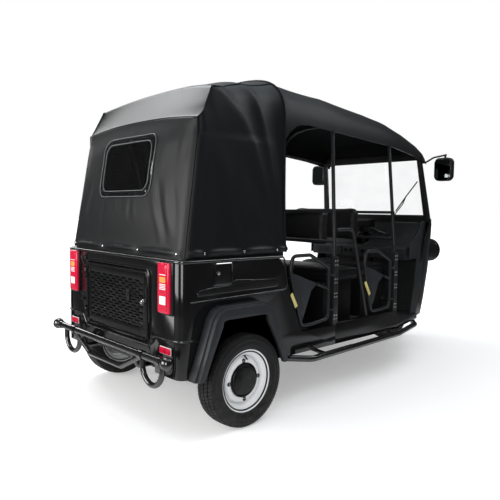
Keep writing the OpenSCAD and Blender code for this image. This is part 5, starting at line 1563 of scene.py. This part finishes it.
# cheek plates between the dash, the nose and the front pillars
cheek = [(1902, 330), (1985, 330), (2060, 560), (2092, 860), (2104, 1085), (2030, 1085), (1990, 900), (1958, 600)]
cheek = joined([tidy(*raised(cheek, 2, 1.5, lambda y, z, h: at(507 + h, y, z), 2)),
                tidy(*raised([(1880, 786), (2078, 786), (2090, 1070), (2064, 1070), (1960, 960), (1880, 900)], 7, 3,
                             lambda y, z, h: at(500 + h, y, z), 1))])
place("pillar_cheeks", new_mesh("pillar_cheeks", *both_sides(cheek)), "dash_moulding", smooth=40)
knobs = []
for x in (-110, -60, 60, 110):
    knobs.append(spun([(0, 0), (0, 0.015), (0.006, 0.0155), (0.014, 0.0125), (0.018, 0.0115), (0.019, 0.009),
                       (0.019, 0)], 24, at(x, 1870, 826), (0, -1, 0)))
place("dash_knobs", new_mesh("dash_knobs", *tidy(*joined(knobs))), "moulded_black", smooth=40)

# bowls and bulbs behind the headlamp lenses
BOWL = [(158, 0), (158, 40), (176, 62), (240, 83.2), (244, 82.6), (232, 79), (212, 70), (190, 54), (174, 36),
        (166, 18), (164, 0)]
BULB = [(166, 0), (166, 12), (172, 12.4), (176, 9), (200, 8.6), (208, 5.4), (210, 0)]
for name, profile, finish in (("headlamp_bowls", BOWL, "chrome_plate"), ("headlamp_bulbs", BULB, "lamp_white")):
    form = spun([(d / 1000, r / 1000) for d, r in profile], 48, at(360, 2200, 830), (0, 1, 0))
    place(name, new_mesh(name, *both_sides(tidy(*form))), finish, smooth=40)

# valance from the head of the windshield frame up to the roof
head = []
for k in range(41):
    a = math.radians(lerp(16, 164, k / 40))
    x, _, z = roof_point(2016, math.degrees(a) if k <= 20 else 180 - math.degrees(a))
    head.append((x * (1 if k <= 20 else -1), z - 11))
foot = [(max(-466, min(466, x)), 1604) for x, _ in reversed(head)]
valance = tidy(*raised(head + foot, 3, 1, lambda u, v, h: at(u, 2016 - h, v), 3))
place("front_valance", new_mesh("front_valance", *valance), "canvas_inside", smooth=40)

# mirrors: polished face inside the shell
for s, tag in ((1, "right"), (-1, "left")):
    def face(u, v, h, s=s):
        return at(s * (632.5 + u), 2107.5 - h + 0.012 * u, 1490 + v)
    glass = tidy(*raised(rounded(-64, 64, -82, 82, 36, 8), 3.0, 1.2, face, 0.5))
    place("mirror_face_" + tag, new_mesh("mirror_face_" + tag, *glass), "mirror_face", smooth=30)

# ---------------------------------------------------------------- finished copies of the other nodes
PLAIN = {
    "chassis": ("satin_black", 1.5), "rear_axle": ("cast_alloy", 1.5), "motor": ("cast_alloy", 1.5),
    "trailing_arms": ("satin_black", 1.5), "dampers": ("tube_satin", 0.8),
    "floor_pan": ("floor_rubber", 1.2), "wheelhouses": ("satin_black", 1.2), "quarters": ("body_gloss", 2.0),
    "filler_flap": ("body_gloss", 1.2), "flares": ("flare_moulding", 4.0), "sills": ("body_gloss", 3.0),
    "rear_panel": ("body_gloss", 1.6), "rear_door": ("body_gloss", 1.6),
    "posts_middle": ("tube_satin", 1.0), "posts_front": ("tube_satin", 1.0),
    "hood_bows": ("tube_satin", 0.0), "roof_rails": ("tube_satin", 0.8),
    "windshield_frame": ("moulded_black", 4.0), "windshield": ("screen_glass", 0.6), "nose": ("body_gloss", 3.0),
    "headlamps": ("lamp_shell", 1.5), "headlamp_lenses": ("lamp_lens", 0.6), "dash": ("dash_moulding", 2.0),
    "seat_boxes": ("satin_black", 2.0),
    "mirrors": ("moulded_black", 2.0), "wiper": ("moulded_black", 0.6), "pedals": ("satin_black", 1.0),
    "handlebar": ("moulded_black", 0.8), "fork": ("satin_black", 0.8), "front_guard": ("satin_black", 1.5),
    "rim_front": ("rim_enamel", 1.0),}
DONE = {n: refine(n, f, b) for n, (f, b) in PLAIN.items()}


# ---------------------------------------------------------------- floor, light, camera
def pale(name, colour, lift=0.0):
    mat = bpy.data.materials.new(name)
    mat.use_nodes = True
    tree = mat.node_tree
    tree.nodes.clear()
    add = tree_nodes(tree)
    surface = use_group(add, GRAIN, 0, Scale=3.0, Patch_Scale=0.4)
    colour = mixed(add, surface, (*colour, 1), (*[c * 0.985 for c in colour], 1))
    sink = tree.nodes.new("ShaderNodeOutputMaterial")
    if lift:
        far = add("ShaderNodeVectorMath", 1, {"operation": "LENGTH"})
        tree.links.new(add("ShaderNodeTexCoord", 3), far.node.inputs[0])
        ray = add("ShaderNodeLightPath").node.outputs
        dim = add("ShaderNodeMapRange", Value=far, From_Min=1.5, From_Max=2.6, To_Max=0.9)
        colour = mixed(add, math_node(add, "MULTIPLY", ray["Is Glossy Ray"], dim), colour, (0.03, 0.03, 0.032, 1))
        far = add("ShaderNodeMapRange", Value=far, From_Min=2.2, From_Max=5.0, To_Min=lift, To_Max=1.0)
        straight = math_node(add, "MAXIMUM", ray["Is Camera Ray"], ray["Is Transmission Ray"])
        glow = add("ShaderNodeEmission", Color=(1, 1, 1, 1), Strength=math_node(add, "MULTIPLY", straight, far))
        shader = add("ShaderNodeAddShader").node
        tree.links.new(glow, shader.inputs[0])
        tree.links.new(add("ShaderNodeBsdfPrincipled", Base_Color=colour, Roughness=0.75), shader.inputs[1])
        shader = shader.outputs[0]
    else:
        shader = add("ShaderNodeBsdfPrincipled", Base_Color=colour, Roughness=0.75)
    tree.links.new(shader, sink.inputs[0])
    return mat


floor_mesh = new_mesh("floor", [(-60, -60, 0), (60, -60, 0), (60, 60, 0), (-60, 60, 0)], [(0, 1, 2, 3)])
floor_mesh.materials.append(pale("floor_pale", (0.88, 0.88, 0.88), 0.3))
floor = bpy.data.objects.new("floor", floor_mesh)
bpy.context.scene.collection.objects.link(floor)

world = bpy.data.worlds.new("studio")
world.use_nodes = True
bpy.context.scene.world = world
sky = world.node_tree
sky.nodes.clear()
add = tree_nodes(sky)
path = add("ShaderNodeLightPath").node
seen = math_node(add, "MAXIMUM", path.outputs["Is Camera Ray"],
                 math_node(add, "MAXIMUM", path.outputs["Is Glossy Ray"], path.outputs["Is Transmission Ray"]))
level = add("ShaderNodeMapRange", Value=seen, To_Min=0.52, To_Max=1.0)
towards = add("ShaderNodeVectorMath", 1, {"operation": "DOT_PRODUCT"})
sky.links.new(add("ShaderNodeTexCoord", 0), towards.node.inputs[0])
towards.node.inputs[1].default_value = (-0.73, 0.68, 0.0)
ahead_of = add("ShaderNodeMapRange", Value=towards, From_Min=0.86, From_Max=0.97, To_Min=0.05, To_Max=1.0)
shade = math_node(add, "MAXIMUM", ahead_of, math_node(add, "SUBTRACT", 1.0, path.outputs["Is Glossy Ray"]))
level = math_node(add, "MULTIPLY", level, shade)
back = add("ShaderNodeBackground", Color=(1, 1, 1, 1), Strength=level)
sky.links.new(back, sky.nodes.new("ShaderNodeOutputWorld").inputs[0])


def softbox(name, size, power, place_at, look, colour):
    lamp = bpy.data.lights.new(name, "AREA")
    lamp.shape = "RECTANGLE"
    lamp.size, lamp.size_y = size
    lamp.energy = power
    lamp.color = colour
    ob = bpy.data.objects.new(name, lamp)
    bpy.context.scene.collection.objects.link(ob)
    ob.location = place_at
    ob.rotation_euler = (Vector(look) - Vector(place_at)).to_track_quat("-Z", "Y").to_euler()


softbox("overhead", (5.0, 5.5), 84, (0.2, -0.2, 4.8), (0.0, 0.1, 0.6), (0.82, 0.92, 1.0))
softbox("behind", (3.2, 2.2), 135, (-1.0, -4.9, 1.7), (0.2, -1.3, 1.2), (1.0, 0.99, 0.98))
softbox("behind_right", (1.2, 2.2), 52, (2.7, -4.3, 1.8), (0.5, -1.2, 1.2), (1.0, 0.99, 0.98))
softbox("above_rear", (1.5, 1.5), 62, (-1.9, -1.1, 4.4), (0.3, -1.24, 1.75), (0.94, 0.98, 1.0))
softbox("strip_left", (1.1, 5.5), 125, (-5.0, -0.9, 4.4), (0.0, -1.4, 0.8), (1.0, 1.0, 1.0))
softbox("front_high", (0.4, 2.4), 24, (1.7, 1.5, 3.6), (0.6, -1.0, 0.8), (0.95, 0.98, 1.0))

lens = bpy.data.cameras.new("photo_camera")
lens.lens = 39.13
lens.sensor_width = 36
a, e, r = (math.radians(v) for v in (47.1736, -4.1321, 0.7291))
ahead = Vector((-math.sin(a) * math.cos(e), math.cos(a) * math.cos(e), math.sin(e)))
right = Vector((math.cos(a), math.sin(a), 0))
up = right.cross(ahead)
r2 = math.cos(r) * right + math.sin(r) * up
u2 = -math.sin(r) * right + math.cos(r) * up
camera = bpy.data.objects.new("photo_camera", lens)
bpy.context.scene.collection.objects.link(camera)
camera.matrix_world = Matrix.Translation((2.7591, -2.994, 1.1472)) @ Matrix((r2, u2, -ahead)).transposed().to_4x4()
bpy.context.scene.camera = camera
bpy.context.scene.view_settings.view_transform = "Standard"
